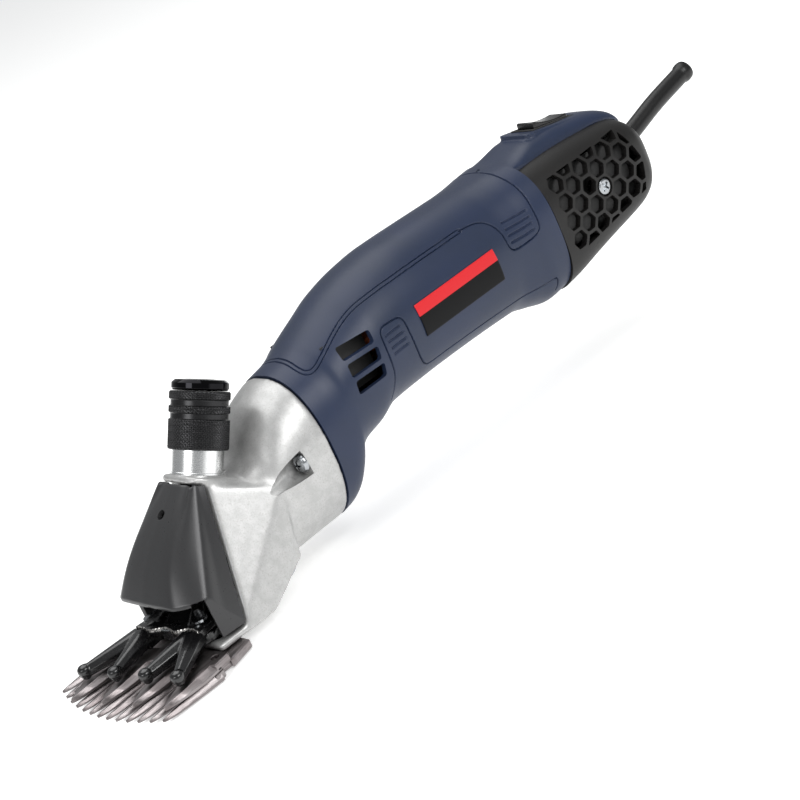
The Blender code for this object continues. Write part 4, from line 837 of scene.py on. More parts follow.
class Skin:
    """A smooth surface through stations, addressed by the share of the way round and along."""

    AROUND = 720
    ALONG = 600

    def __init__(self, stations: Sequence[Station]) -> None:
        """Lays out a fine table of the surface.

        Args:
            stations: Its sections from front to rear.
        """
        rows = np.array([(s.y, s.half, s.top, s.bottom, s.square) for s in stations])
        steps = np.sqrt((np.diff(rows[:, :4], axis=0) ** 2).sum(axis=1))
        keys = np.concatenate([[0.0], np.cumsum(steps)])
        at = np.linspace(0, keys[-1], self.ALONG + 1)
        y, half, top, bottom, square = (curve_through(keys, rows[:, i], at) for i in range(5))
        self.table = np.array([self.ring(*values) for values in zip(y, half, top, bottom, square)])
        self.girth = np.sqrt((np.diff(self.table, axis=1) ** 2).sum(axis=2)).sum(axis=1)

    def ring(self, y: float, half: float, top: float, bottom: float, square: float) -> np.ndarray:
        """Gives evenly spaced points round one section, from the top towards +X.

        Args:
            y: Where the section is.
            half: Its half width.
            top: Its top's height.
            bottom: Its bottom's height.
            square: 2 for an ellipse, more for a squarer section.

        Returns:
            One row per point.
        """
        angle = np.linspace(0, tau, 4 * self.AROUND + 1)
        power = 2 / square
        x = half * np.sign(np.sin(angle)) * np.abs(np.sin(angle)) ** power
        z = (top + bottom) / 2 + (top - bottom) / 2 * np.sign(np.cos(angle)) * np.abs(np.cos(angle)) ** power
        length = np.concatenate([[0.0], np.cumsum(np.hypot(np.diff(x), np.diff(z)))])
        even = np.linspace(0, length[-1], self.AROUND + 1)
        return np.stack(
            [np.interp(even, length, x), np.full_like(even, y), np.interp(even, length, z)], axis=1
        )

    def points(self, around: np.ndarray, along: np.ndarray) -> np.ndarray:
        """Gives the places on the surface.

        Args:
            around: Shares of the way round, from the top towards +X.
            along: Shares of the way from front to rear.

        Returns:
            One row per place.
        """
        a, b = (around % 1.0) * self.AROUND, np.clip(along, 0, 1) * self.ALONG
        i, j = np.minimum(a.astype(int), self.AROUND - 1), np.minimum(b.astype(int), self.ALONG - 1)
        s, t = (a - i)[:, None], (b - j)[:, None]
        table = self.table
        return (table[j, i] * (1 - s) + table[j, i + 1] * s) * (1 - t) + (
            table[j + 1, i] * (1 - s) + table[j + 1, i + 1] * s
        ) * t

    def normals(self, around: np.ndarray, along: np.ndarray) -> np.ndarray:
        """Gives the outward directions on the surface.

        Args:
            around: Shares of the way round.
            along: Shares of the way from front to rear.

        Returns:
            One unit row per place.
        """
        step = 0.002
        across = self.points(around + step, along) - self.points(around - step, along)
        down = self.points(around, along + step) - self.points(around, along - step)
        out = np.cross(across, down)
        return out / np.maximum(np.linalg.norm(out, axis=1, keepdims=True), TINY)

    def flat(self, around: np.ndarray, along: np.ndarray) -> np.ndarray:
        """Unrolls places to (y, distance from the top line), the same on both sides.

        Args:
            around: Shares of the way round.
            along: Shares of the way from front to rear.

        Returns:
            One row per place.
        """
        row = np.clip(along, 0, 1) * self.ALONG
        girth = np.interp(row, np.arange(self.ALONG + 1), self.girth)
        y = np.interp(row, np.arange(self.ALONG + 1), self.table[:, 0, 1])
        return np.stack([y, np.minimum(around % 1.0, 1 - around % 1.0) * girth], axis=1)

    def unrolled(self, y: float, z: float) -> tuple[float, float]:
        """Unrolls one place on the side.

        Args:
            y: The place along the skin.
            z: Its height.

        Returns:
            Its y and its distance from the top line.
        """
        row = int(np.argmin(np.abs(self.table[:, 0, 1] - y)))
        half = self.table[row, : self.AROUND // 2]
        column = int(np.argmin(np.abs(half[:, 2] - z)))
        return (y, column / self.AROUND * float(self.girth[row]))

    def edge(self, y: float) -> list[Point]:
        """Gives one section as a ring of points."""
        row = int(np.argmin(np.abs(self.table[:, 0, 1] - y)))
        return [tuple(p) for p in self.table[row, :-1:10]]


@dataclass(frozen=True)
class Groove:
    """A line pressed into a skin: its route in y and height, width, depth and spacing if it is double."""

    route: tuple[tuple[float, float], ...]
    width: float = 0.5
    depth: float = 0.75
    spread: float = 0.0
    rounds: int = 3

    def line(self, skin: Skin) -> np.ndarray:
        """Unrolls the route and rounds its corners.

        Args:
            skin: The surface that it is pressed into.

        Returns:
            One row per point of the line.
        """
        points = np.array([skin.unrolled(y, z) for y, z in self.route])
        for _ in range(self.rounds):
            near, far = points[:-1] * 0.75 + points[1:] * 0.25, points[:-1] * 0.25 + points[1:] * 0.75
            middle = np.stack([near, far], axis=1).reshape(-1, 2)
            points = np.concatenate([points[:1], middle, points[-1:]])
        return points

    def distance(self, skin: Skin, places: np.ndarray) -> np.ndarray:
        """Gives how far each place is from the line, or from the nearer of a double line's two.

        Args:
            skin: The surface that it is pressed into.
            places: The unrolled places, one per row.

        Returns:
            The distances.
        """
        line = self.line(skin)
        best = np.full(len(places), np.inf)
        for start, end in zip(line, line[1:]):
            run = end - start
            t = np.clip(((places - start) @ run) / max(run @ run, TINY), 0, 1)
            best = np.minimum(best, np.linalg.norm(places - start - t[:, None] * run, axis=1))
        return np.abs(best - self.spread)

    def sink(self, distance: np.ndarray) -> np.ndarray:
        """Gives the depth at a distance from the line."""
        t = np.clip(1 - distance / self.width, 0, 1)
        return self.depth * t * t * (3 - 2 * t)


def pressed_skin(
    skin: Skin,
    grooves: Sequence[Groove],
    columns: int,
    rows: int,
    span: tuple[float, float] = (0.0, 1.0),
    refine: int = 2,
    proud: float = 0.0,
) -> Shape:
    """Makes an open skin with lines pressed into it, finer along the lines.

    Args:
        skin: The surface.
        grooves: The lines.
        columns: How many faces go round.
        rows: How many faces go along.
        span: The share of the way round that is covered.
        refine: How many times faces near a line are halved.
        proud: How far the whole skin stands off the surface.

    Returns:
        The shape, welded where it closes on itself.
    """
    shape = bmesh.new()
    bmesh.ops.create_grid(shape, x_segments=columns, y_segments=rows, size=0.5)
    low, high = span

    def shares() -> tuple[np.ndarray, np.ndarray]:
        """Reads where every vertex lies.

        Returns:
            The shares of the way round, and those of the way along.
        """
        flat = np.array([(v.co.x + 0.5, v.co.y + 0.5) for v in shape.verts])
        return low + flat[:, 0] * (high - low), flat[:, 1]

    for level in range(refine):
        around, along = shares()
        places = skin.flat(around, along)
        reach = 1.6 / 2**level
        near = np.zeros(len(places), bool)
        for groove in grooves:
            near |= groove.distance(skin, places) < groove.width + reach
        shape.verts.ensure_lookup_table()
        shape.verts.index_update()
        edges = [e for e in shape.edges if near[e.verts[0].index] and near[e.verts[1].index]]
        if edges:
            bmesh.ops.subdivide_edges(shape, edges=edges, cuts=1, use_grid_fill=True)
    around, along = shares()
    places = skin.flat(around, along)
    sink = np.zeros(len(places))
    for groove in grooves:
        sink = np.maximum(sink, groove.sink(groove.distance(skin, places)))
    out = skin.points(around, along) + skin.normals(around, along) * (proud - sink)[:, None]
    for vert, place in zip(shape.verts, out):
        vert.co = place
    bmesh.ops.remove_doubles(shape, verts=shape.verts, dist=MERGE)
    bmesh.ops.recalc_face_normals(shape, faces=shape.faces)
    if sum(f.normal.x * f.calc_center_median().x for f in shape.faces) < 0:
        bmesh.ops.reverse_faces(shape, faces=shape.faces)
    return shape


def walled_skin(
    skin: Skin,
    grooves: Sequence[Groove],
    columns: int,
    rows: int,
    wall: float,
    span: tuple[float, float] = (0.0, 1.0),
) -> Shape:
    """Makes a wall with pressed lines outside and a plain inner side, closed by a rim.

    Args:
        skin: The outer surface.
        grooves: The lines pressed into it.
        columns: How many faces go round.
        rows: How many faces go along.
        wall: The wall's thickness.
        span: The share of the way round that is covered.

    Returns:
        The closed shape.
    """
    wall_shape = joined(
        pressed_skin(skin, grooves, columns, rows, span, refine=3 if grooves else 0),
        pressed_skin(skin, [], columns, rows, span, refine=0, proud=-wall),
    )
    front = float(skin.table[0, 0, 1])
    rims = [e for e in wall_shape.edges if e.is_boundary]
    if span == (0.0, 1.0):
        near = [e for e in rims if e.verts[0].co.y < front + 1]
        bmesh.ops.bridge_loops(wall_shape, edges=near)
        rims = [e for e in wall_shape.edges if e.is_boundary]
    bmesh.ops.bridge_loops(wall_shape, edges=rims)
    return wall_shape


# ---------------------------------------------------------------- comb and cutter


def blade_tooth(
    route: Sequence[tuple[float, float, float, float, float]],
    facet: float,
) -> Shape:
    """Makes one tooth with a flat back and ground facets along both flanks.

    Args:
        route: (x, y, half width, bottom, top) from root to tip.
        facet: How much of the half width each flank facet takes.

    Returns:
        The closed tooth.
    """
    rings = []
    for x, y, half, low, high in route:
        shoulder = low + (high - low) * 0.35
        crest = half * (1 - facet)
        rings.append(
            [
                (x - half, y, low),
                (x + half, y, low),
                (x + half, y, shoulder),
                (x + crest, y, high),
                (x - crest, y, high),
                (x - half, y, shoulder),
            ]
        )
    return skin_through(rings)


@dataclass
class CombAndCutter:
    """The thirteen-tooth comb and the four-tooth cutter that swings over it."""

    teeth: int = 13
    pitch: float = 6.1
    thickness: float = 3.6
    tip_y: float = -46.5
    tip_sag: float = 6.7
    root_y: float = -16.0
    heel_y: float = 8.0
    heel_half: float = 32.0
    screw_x: float = 21.0
    screw_y: float = 2.5
    cutter_low: float = 3.9
    cutter_high: float = 7.1
    cutter_teeth: int = 4
    cutter_half: float = 5.8
    cutter_rear: float = 28.5
    cutter_root: float = 37.0
    cutter_tip: float = 61.0
    cutter_hole: Point = (28.5, -32.5, 1.7)
    swing: float = 9.0

    def swung(self) -> Matrix:
        """Gives the matrix from the fork's own frame, fulcrum at the origin, to the part's."""
        return Matrix.Translation(FULCRUM) @ Matrix.Rotation(radians(self.swing), 4, "Z")

    def comb_tooth(self, number: int) -> Shape:
        """Makes one pointed comb tooth.

        Args:
            number: Which tooth it is, counting from -X.

        Returns:
            The closed tooth.
        """
        last = (self.teeth - 1) / 2
        place = (number - last) / last
        x = place * last * self.pitch
        tip = self.tip_y + self.tip_sag * place**2
        root = self.root_y + 2.0 * place**2 + 2.5
        length = root - tip
        route = []
        for share in (0.0, 0.35, 0.6, 0.78, 0.88, 0.95, 1.0):
            half = float(np.interp(share, (0, 0.08, 1 - 5 / length, 0.95, 1), (2.2, 2.2, 1.53, 0.8, 0.12)))
            low = self.thickness * 0.25 * share**3
            route.append((x, root - length * share, half, low, self.thickness * (1 - 0.42 * share)))
        return blade_tooth(route, 0.72)

    def build_comb(self) -> None:
        """Makes the comb's plate and teeth and cuts its screw slots."""
        right = [
            (38.8, -14.2),
            (37.5, -9.5),
            (34.2, -9.2),
            (34.2, -4.8),
            (35.9, -4.5),
            (self.heel_half, self.heel_y),
        ]
        front = [(x, self.root_y + 0.4 + 2.0 * (x / 36.6) ** 2) for x in np.linspace(-34, 34, 15)]
        outline = front + right + [(-x, y) for x, y in reversed(right)]
        body = chamfered(plate(outline, 0.0, self.thickness), 0.5)
        comb = Workpiece(body, "comb_ground")
        for side in Side:
            x = side.value * self.screw_x
            slots = []
            for half, height in ((2.7, 5.0), (4.9, 2.0)):
                arc = [
                    (x - half * cos(pi * i / 16), self.screw_y - half * sin(pi * i / 16)) for i in range(17)
                ]
                slots.append(plate(arc + [(x + half, 9.5), (x - half, 9.5)], -1.0, height))
            comb.carve(*slots)
        comb.with_shells(*[self.comb_tooth(i) for i in range(self.teeth)])
        comb.eased(0.12, 1).publish(GROUND_STEEL, "ground_steel", Body.HEAD, ["comb"], smooth=20)

    def build_cutter(self) -> None:
        """Makes the cutter's bar, leaf-shaped teeth and handling holes."""
        pitch = 3 * self.pitch
        outer = (self.cutter_teeth - 1) / 2 * pitch
        places = [outer - pitch * i for i in range(self.cutter_teeth)]
        edge = outer + self.cutter_half
        bar = [
            (edge - 1.5, -self.cutter_rear),
            (-edge + 1.5, -self.cutter_rear),
            (-edge, -self.cutter_rear - 1.5),
        ]
        for x in reversed(places):
            bar += [(x - self.cutter_half, -self.cutter_root), (x, -self.cutter_root - 2.0)]
            bar += [(x + self.cutter_half, -self.cutter_root)]
            if x != places[0]:
                bar += [(x + pitch / 2, -self.cutter_root + 1.4)]
        bar += [(edge, -self.cutter_rear - 1.5)]
        body = chamfered(plate(bar, self.cutter_low, self.cutter_high), 0.35)
        teeth = []
        for x in places:
            route = []
            for share in np.linspace(0, 1, 15):
                half = self.cutter_half * float(
                    curve_through((0, 0.3, 0.52, 0.78, 1), (1, 1, 0.84, 0.5, 0.03), np.array([share]))[0]
                )
                reach = self.cutter_root - 2.0 + (self.cutter_tip - self.cutter_root + 2.0) * share
                top = self.cutter_high - 1.3 * share**2
                route.append((x, -reach, max(half, 0.15), self.cutter_low, top))
            teeth.append(blade_tooth(route, 0.42))
        cutter = Workpiece(moved(body, self.swung()), "cutter_ground")
        across, y, radius = self.cutter_hole
        for side in Side:
            x = side.value * across
            cutter.carve(
                moved(rod((x, y, 0.0), (x, y, self.cutter_high + 1.9), radius, radius, 24), self.swung())
            )
        cutter.with_shells(moved(joined(*teeth), self.swung()))
        cutter.eased(0.12, 1).publish(GROUND_STEEL, "ground_steel", Body.FORK, ["cutter"], smooth=20)

    def build(self) -> None:
        """Builds both blades."""
        self.build_comb()
        self.build_cutter()


# ---------------------------------------------------------------- fork


@dataclass
class Fork:
    """The rocking fork: a cast plate with a worn front edge and two yokes with tapered fingers."""

    swung: Matrix
    plate_low: float = 11.4
    plate_high: float = 15.0
    plate_half: float = 19.0
    plate_front: float = -27.0
    finger_reach: float = 50.0
    cutter_pitch: float = 18.3
    ball_z: float = 9.8
    post_radius: float = 3.9
    cup_drop: float = 36.5
    cup_radius: float = 3.7
    pin_place: tuple[float, float] = (14.0, -21.0)
    pin_radius: float = 2.7

    def pin_bore(self, side: Side) -> Shape:
        """Makes the cutter for one yoke pin's bore."""
        x, y = self.pin_place[0] * side.value, self.pin_place[1]
        return rod((x, y, 5.0), (x, y, 20.0), self.pin_radius, self.pin_radius)

    def casting_shapes(self) -> list[Shape]:
        """Gives the plate, its raised lip, the ribbed back, the arm and the block.

        Returns:
            The overlapping shells.
        """
        half = self.plate_half
        wave = [(x, self.worn_edge(x) - 0.5) for x in np.linspace(-half, half, 41)]
        outline = wave + [(half, -half), (half / 2, -5.5), (-half / 2, -5.5), (-half, -half)]
        base = plate(outline, self.plate_low, self.plate_high - 0.9)
        lip = [(x * 0.99, y + 0.2) for x, y in wave] + [(x * 0.93, y + 4.2) for x, y in reversed(wave)]
        arm = [
            (-22.0, 11.4), (8.0, 11.4), (13.0, 27.0), (18.0, 33.0), (25.0, 33.0), (25.0, 47.0), (18.0, 47.0),
            (16.0, 38.5), (9.5, 33.5), (0.5, 38.5), (-5.5, 29.0), (-11.0, 18.0), (-22.0, 14.6),
        ]
        shapes = [base, plate(lip, self.plate_high - 1.5, self.plate_high), side_plate(arm, 6.0)]
        shapes.append(block((-8.4, 18.3, 33.4), (8.4, 24.8, 46.6)))
        for x in (-13.5, 13.5):
            shapes.append(skin_through([
                self.beam_ring(Vector((x, -24.0, 14.2)), Vector((-x * 0.4, 14, 9)), 7.0, 3.4),
                self.beam_ring(Vector((x * 0.5, -8.0, 22.0)), Vector((-x * 0.4, 14, 9)), 5.0, 4.0),
            ]))
        return shapes

    def worn_edge(self, x: float) -> float:
        """Gives the wavy front edge's place along Y."""
        return self.plate_front + 0.9 * cos(x * 0.42 + 0.6)

    def beam_ring(self, centre: Vector, along: Vector, width: float, height: float) -> list[Point]:
        """Gives one section of a beam: flat below, shouldered above, with a narrow flat crest.

        Args:
            centre: The middle of the section.
            along: The beam's direction.
            width: Across the beam.
            height: From its foot to its crest.

        Returns:
            The ring of points.
        """
        run = along.normalized()
        side = run.cross(Vector((0, 0, 1))).normalized()
        up = side.cross(run).normalized()
        corners = (
            (-0.42, -0.5), (0.42, -0.5), (0.5, -0.3), (0.5, 0.12), (0.24, 0.44), (0.14, 0.5),
            (-0.14, 0.5), (-0.24, 0.44), (-0.5, 0.12), (-0.5, -0.3),
        )
        return [tuple(centre + side * (a * width) + up * (b * height)) for a, b in corners]

    def build_casting(self) -> None:
        """Welds the fork's shells, opens its socket and slot, and wears its front edge."""
        casting = Workpiece(joined(*self.casting_shapes()), "fork_casting").softened(0.5, 3)
        cutters = [
            rod((0, 0, 5.0), (0, 0, 21.5), self.post_radius, self.post_radius),
            block((-4.7, 20.5, 30.0), (4.7, 28.0, 50.0)),
            *(self.pin_bore(side) for side in Side),
        ]
        cup = KNOB_FOOT - FULCRUM - NECK_AXIS * self.cup_drop
        casting.carve(*cutters, rod(cup, cup + NECK_AXIS * 20, self.cup_radius, self.cup_radius))
        casting.object.data.transform(self.swung)
        inverse = self.swung.inverted()

        def bare(place: Vector) -> float:
            """Gives the wear: full on the lip's front edge, none about 1 mm behind it.

            Args:
                place: A place on the piece.

            Returns:
                The "bare" attribute's value.
            """
            local = inverse @ place
            near = 1 - smoothstep(0.2, 1.1, local.y - self.worn_edge(local.x) + 0.3)
            return 0.62 * near * smoothstep(13.0, 13.8, local.z)

        casting.publish(BLACK_ENAMEL, "black_enamel", Body.FORK, ["fork_body"], bare=bare)

    def finger(self, start: Vector, end: Vector) -> Shape:
        """Makes one tapered finger with a straight crest.

        Args:
            start: The middle of its root.
            end: The middle of its tip.

        Returns:
            The closed finger.
        """
        rings = []
        for share in (0.0, 0.2, 0.5, 0.8, 0.95, 1.06):
            shrink = 1.0 if share < 1 else 0.82
            width, height = (9.2 - 4.6 * share) * shrink, (6.4 - 2.0 * share) * shrink
            rings.append(self.beam_ring(start.lerp(end, share), end - start, width, height))
        return skin_through(rings)

    def build_yoke(self, side: Side) -> None:
        """Makes one yoke: hub, neck, two fingers and the round feet that press the cutter.

        Args:
            side: Which side it is on.
        """
        s = side.value
        x, y = self.pin_place[0] * s, self.pin_place[1]
        hub = turned([(0, 7.7), (6.0, 7.7), (6.0, 11.1), (0, 11.1)], (x, y, 0), UPRIGHT)
        neck = block((x - 5.0, -31.2, 7.9), (x + 5.0, y, 10.9))
        shapes = [hub, neck]
        for place in (s * self.cutter_pitch / 2, s * self.cutter_pitch * 1.5):
            start = Vector((x + (place - x) * 0.12, -28.5, self.ball_z + 2.4))
            end = Vector((place, -self.finger_reach, self.ball_z + 0.8))
            shapes.append(self.finger(start, end))
            foot = [
                (0, -2.5), (1.3, -2.3), (2.0, -1.6), (2.2, -0.8), (2.7, 0.2), (2.9, 1.4), (2.6, 2.5),
                (1.8, 3.3), (0, 3.8),
            ]
            shapes.append(turned(foot, (place, -self.finger_reach, self.ball_z), UPRIGHT, 32))
        yoke = Workpiece(joined(*shapes), f"yoke_{side.word}_enamelled").softened(0.3, 2)
        yoke.carve(self.pin_bore(side))
        yoke.object.data.transform(self.swung)
        yoke.publish(BLACK_ENAMEL, "black_enamel", Body.FORK, [f"fork_yoke_{side.word}"], bare=lambda _: 0.0)

    def build(self) -> None:
        """Builds the casting and both yokes."""
        self.build_casting()
        for side in Side:
            self.build_yoke(side)


# ---------------------------------------------------------------- gear head


@dataclass
class GearHead:
    """The cast gear head with its machined neck, screw pockets and grey front pressing."""

    neck_radius: float = 9.2
    bore_radius: float = 6.6
    screw_x: float = 22.5
    screw_z: float = 43.5
    cover_thick: float = 1.8
    stations: tuple[Station, ...] = (
        Station(44.0, 22.5, 50.6, 11.0, 3.2),
        Station(50.0, 24.0, 52.8, 10.4, 2.9),
        Station(58.0, 25.0, 61.0, 9.8, 2.6),
        Station(66.0, 25.5, 68.2, 9.2, 2.4),
        Station(74.0, 26.0, 72.0, 9.0, 2.3),
        Station(79.0, 26.0, 73.5, 9.0, 2.3),
    )

    def hull(self, half_points: Sequence[Point]) -> Shape:
        """Makes the convex solid round points.

        Args:
            half_points: The points on one side, which are mirrored to the other.

        Returns:
            The closed shape.
        """
        shape = bmesh.new()
        for x, y, z in half_points:
            shape.verts.new((x, y, z))
            shape.verts.new((-x, y, z))
        made = bmesh.ops.convex_hull(shape, input=shape.verts[:])
        loose = [v for v in made["geom_interior"] if isinstance(v, bmesh.types.BMVert)]
        bmesh.ops.delete(shape, geom=list(set(loose)), context="VERTS")
        return shape

    def build_casting(self) -> None:
        """Welds the casting's masses, hollows it and cuts the pockets that hold its screws."""
        axis, foot = NECK_AXIS, NECK_FOOT
        cheeks = self.hull([
            (12.8, 30.0, 55.0), (13.5, 44.0, 49.6), (28.8, 11.8, 8.8), (29.5, 25.0, 3.9), (29.5, 10.5, 3.9),
            (28.0, 46.0, 15.0), (24.5, 52.0, 42.0),
        ])
        slab = [(7.0, -10.6), (11.2, -8.8), (13.0, -4.0), (13.5, 8.0), (12.0, 10.5)]
        slab += [(-x, y) for x, y in reversed(slab)]
        turn = Matrix.Translation(foot) @ along_axis(axis)
        rear = Skin(self.stations)
        rings = [[tuple(p) for p in row[:-1:6]] for row in rear.table[::30]]
        shapes = [
            skin_through(rings),
            cheeks,
            moved(plate(slab, -3.0, 0.0), turn),
            block((-29.0, -3.0, 3.9), (29.0, 24.0, 7.1)),
            rod(foot - axis * 2, foot + axis * 19.0, self.neck_radius, self.neck_radius),
        ]
        casting = Workpiece(joined(*shapes), "gear_head_cast").softened(0.75, 4)
        # Shallow valleys run down both sides of the neck.
        valleys = [rod((17.0 * s, 66.0, 74.5), (10.5 * s, 45.5, 50.5), 4.0, 1.2) for s in (-1, 1)]
        # In order: the mouth round the fork, the fork arm's room, the crank shaft's bore and its
        # bearings', the gear room, the pinion's bore, the knob's bore and the fulcrum post's.
        rooms = [
            self.hull(
                [
                    (9.5, 18.0, 48.5),
                    (9.5, 35.0, 48.5),
                    (26.5, -20.0, 7.1),
                    (24.0, 25.5, 7.1),
                    (24.0, 32.0, 10.8),
                    (18.5, 32.0, 30.0),
                    (26.5, -20.0, 30.0),
                ]
            ),
            block((-13.6, 31.0, 27.0), (13.6, 46.0, 47.8)),
            rod((0, 37, 40), (0, 57, 40), 9.6, 9.6),
            rod((0, 54.3, 40), (0, 84, 40), 11.4, 11.4),
            rod((0, 70.5, 40), (0, 90, 40), 19.6, 19.6),
            rod((0, 70.5, 62), (0, 90, 62), 6.0, 6.0),
            rod(foot - axis * 12, foot + axis * 28, self.bore_radius, self.bore_radius),
            rod((0, 19, 0), (0, 19, 8), 3.4, 3.4),
        ]
        casting.carve(*valleys).softened(0.75, 12).carve(*rooms)
        casting.apply("SMOOTH", factor=0.5, iterations=3)
        z = self.screw_z
        # On each side: the screw's seat, the long pocket that leads to it, its bore and the comb screw's.
        for side in Side:
            s = side.value
            x = self.screw_x * s
            casting.carve(
                rod((x, 60.0, z), (x, 66.5, z), 4.4, 4.9),
                rod((28.2 * s, 33.0, 41.0), (23.6 * s, 66.4, z), 0.5, 5.6),
                rod((x, 60.0, z), (x, 82.0, z), 2.2, 2.2),
                rod((21.0 * s, 2.5, 0.0), (21.0 * s, 2.5, 12.0), 2.8, 2.8),
            )
        # The oil plug's bore goes in square to the sloping underside.
        inward = Vector((0, -0.467, 0.884))
        plug = Vector((22.0, 40.0, 11.8))
        casting.carve(rod(plug - inward * 4, plug + inward * 6, 2.8, 2.8))
        casting.publish(CAST_ALLOY, "cast_alloy", Body.HEAD, ["head_casting"], smooth=40)

    def build_neck(self) -> None:
        """Makes the machined band that shows between the casting and the knob."""
        rim = [
            (9.9, 0.2), (10.1, 0.4), (10.1, 1.0), (9.95, 1.2), (9.95, 19.0), (9.6, 19.3), (8.6, 19.3),
            (8.6, 0.2), (9.9, 0.2),
        ]
        neck = Workpiece(turned(rim, NECK_FOOT, NECK_AXIS, 96), "neck_machined")
        neck.publish(MACHINED_ALLOY, "cast_alloy", Body.HEAD)

    def build_screws(self) -> None:
        """Makes the domed, cross-headed screws at the ends of the side pockets."""
        profile = [
            (0, 12.8), (1.8, 12.8), (1.8, 0.0), (3.8, 0.0), (4.0, -0.5), (3.9, -1.1), (3.3, -1.9),
            (2.3, -2.5), (1.2, -2.8), (0, -2.9),
        ]
        for side in Side:
            x, z, name = self.screw_x * side.value, self.screw_z, f"head_screw_{side.word}"
            screw = Workpiece(turned(profile, (x, 66.2, z), (0, 1, 0), 48), f"{name}_domed")
            screw.carve(*cross_recess((x, 62.0, z), (0, 1, 0), arm=1.9, web=0.4, depth=2.9))
            screw.publish(BRIGHT_STEEL, "bright_steel", Body.HEAD, [name], smooth=18)

    def cover_line(self, part: float) -> list[Point]:
        """Gives one level of the front pressing.

        Args:
            part: 0 for its top edge, 1 for its brow.

        Returns:
            Seven points from the middle plane out to the cheek's rear edge.
        """
        front_y = 25.1 - 33.7 * part - 4.5 * sin(pi * part)
        front_z = 58.2 - 31.8 * part
        front, chamfer, rear = 8.8 + 9.2 * part, 12.2 + 15.4 * part, 13.4 + 15.8 * part
        chamfer_y, chamfer_z = 25.4 - 24.0 * part, 58.0 - 32.8 * part
        rear_y, rear_z = 28.8 - 17.8 * part, 56.0 - 47.0 * part
        return [
            (0.0, front_y - 0.8, front_z + 0.4),
            (front * 0.6, front_y - 0.5, front_z + 0.3),
            (front * 0.97, front_y, front_z),
            ((front + chamfer) / 2 + 0.4, (front_y + chamfer_y) / 2 - 1.3, (front_z + chamfer_z) / 2),
            (chamfer, chamfer_y, chamfer_z),
            ((chamfer + rear) / 2, (chamfer_y + rear_y) / 2, (chamfer_z + rear_z) / 2),
            (rear, rear_y, rear_z),
        ]

    def below_brow(self, face: bmesh.types.BMFace, brow_z: float) -> bool:
        """Tells whether a face lies in the mouth that stays open below the brow.

        Args:
            face: A face of the pressing.
            brow_z: The brow's height.

        Returns:
            True if it is cut away.
        """
        middle = face.calc_center_median()
        if middle.z >= 25.1 or abs(middle.x) >= 27.3 or middle.y >= 0.9:
            return False
        heights = [v.co.z for v in face.verts]
        inside = all(abs(v.co.x) < 27.75 for v in face.verts)
        return inside and (min(heights) < brow_z - 0.8 or max(heights) < 26.2)

    def build_cover(self) -> None:
        """Makes the pressed front cover: a crowned brow with a soft chamfer and two long cheeks."""
        columns, rows, tip_rows = 72, 60, 14
        tip_z = 8.5
        shape = bmesh.new()
        bmesh.ops.create_grid(shape, x_segments=columns, y_segments=rows + tip_rows, size=0.5)
        keys = np.array([0.0, 0.16, 0.3, 0.42, 0.54, 0.78, 1.0])
        for vert in shape.verts:
            across = vert.co.x * 2
            row = round((vert.co.y + 0.5) * (rows + tip_rows))
            part = min(row / rows, 1.0)
            line = np.array(self.cover_line(part))
            at = np.array([abs(across)])
            x, y, z = (float(curve_through(keys, line[:, i], at)[0]) for i in range(3))
            if row > rows:
                z += (tip_z - z) * (row - rows) / tip_rows
            vert.co = (x if across >= 0 else -x, y, z)
        brow_z = self.cover_line(1.0)[2][2]
        low = [f for f in shape.faces if self.below_brow(f, brow_z)]
        bmesh.ops.delete(shape, geom=low, context="FACES")
        bmesh.ops.recalc_face_normals(shape, faces=shape.faces)
        if sum(f.normal.y for f in shape.faces) > 0:
            bmesh.ops.reverse_faces(shape, faces=shape.faces)
        cover = Workpiece(shape, "front_cover_pressed").walled(self.cover_thick)
        cover.carve(rod((0, 10.8, 56.0), (0, 19.0, 44.5), 2.1, 2.1))
        cover.eased(0.25, 2, 50.0).publish(GREY_PRESSING, "grey_cover", Body.HEAD, ["front_cover"], smooth=50)

    def build(self) -> None:
        """Builds the whole head."""
        self.build_casting()
        self.build_neck()
        self.build_screws()
        self.build_cover()


# ---------------------------------------------------------------- tension knob


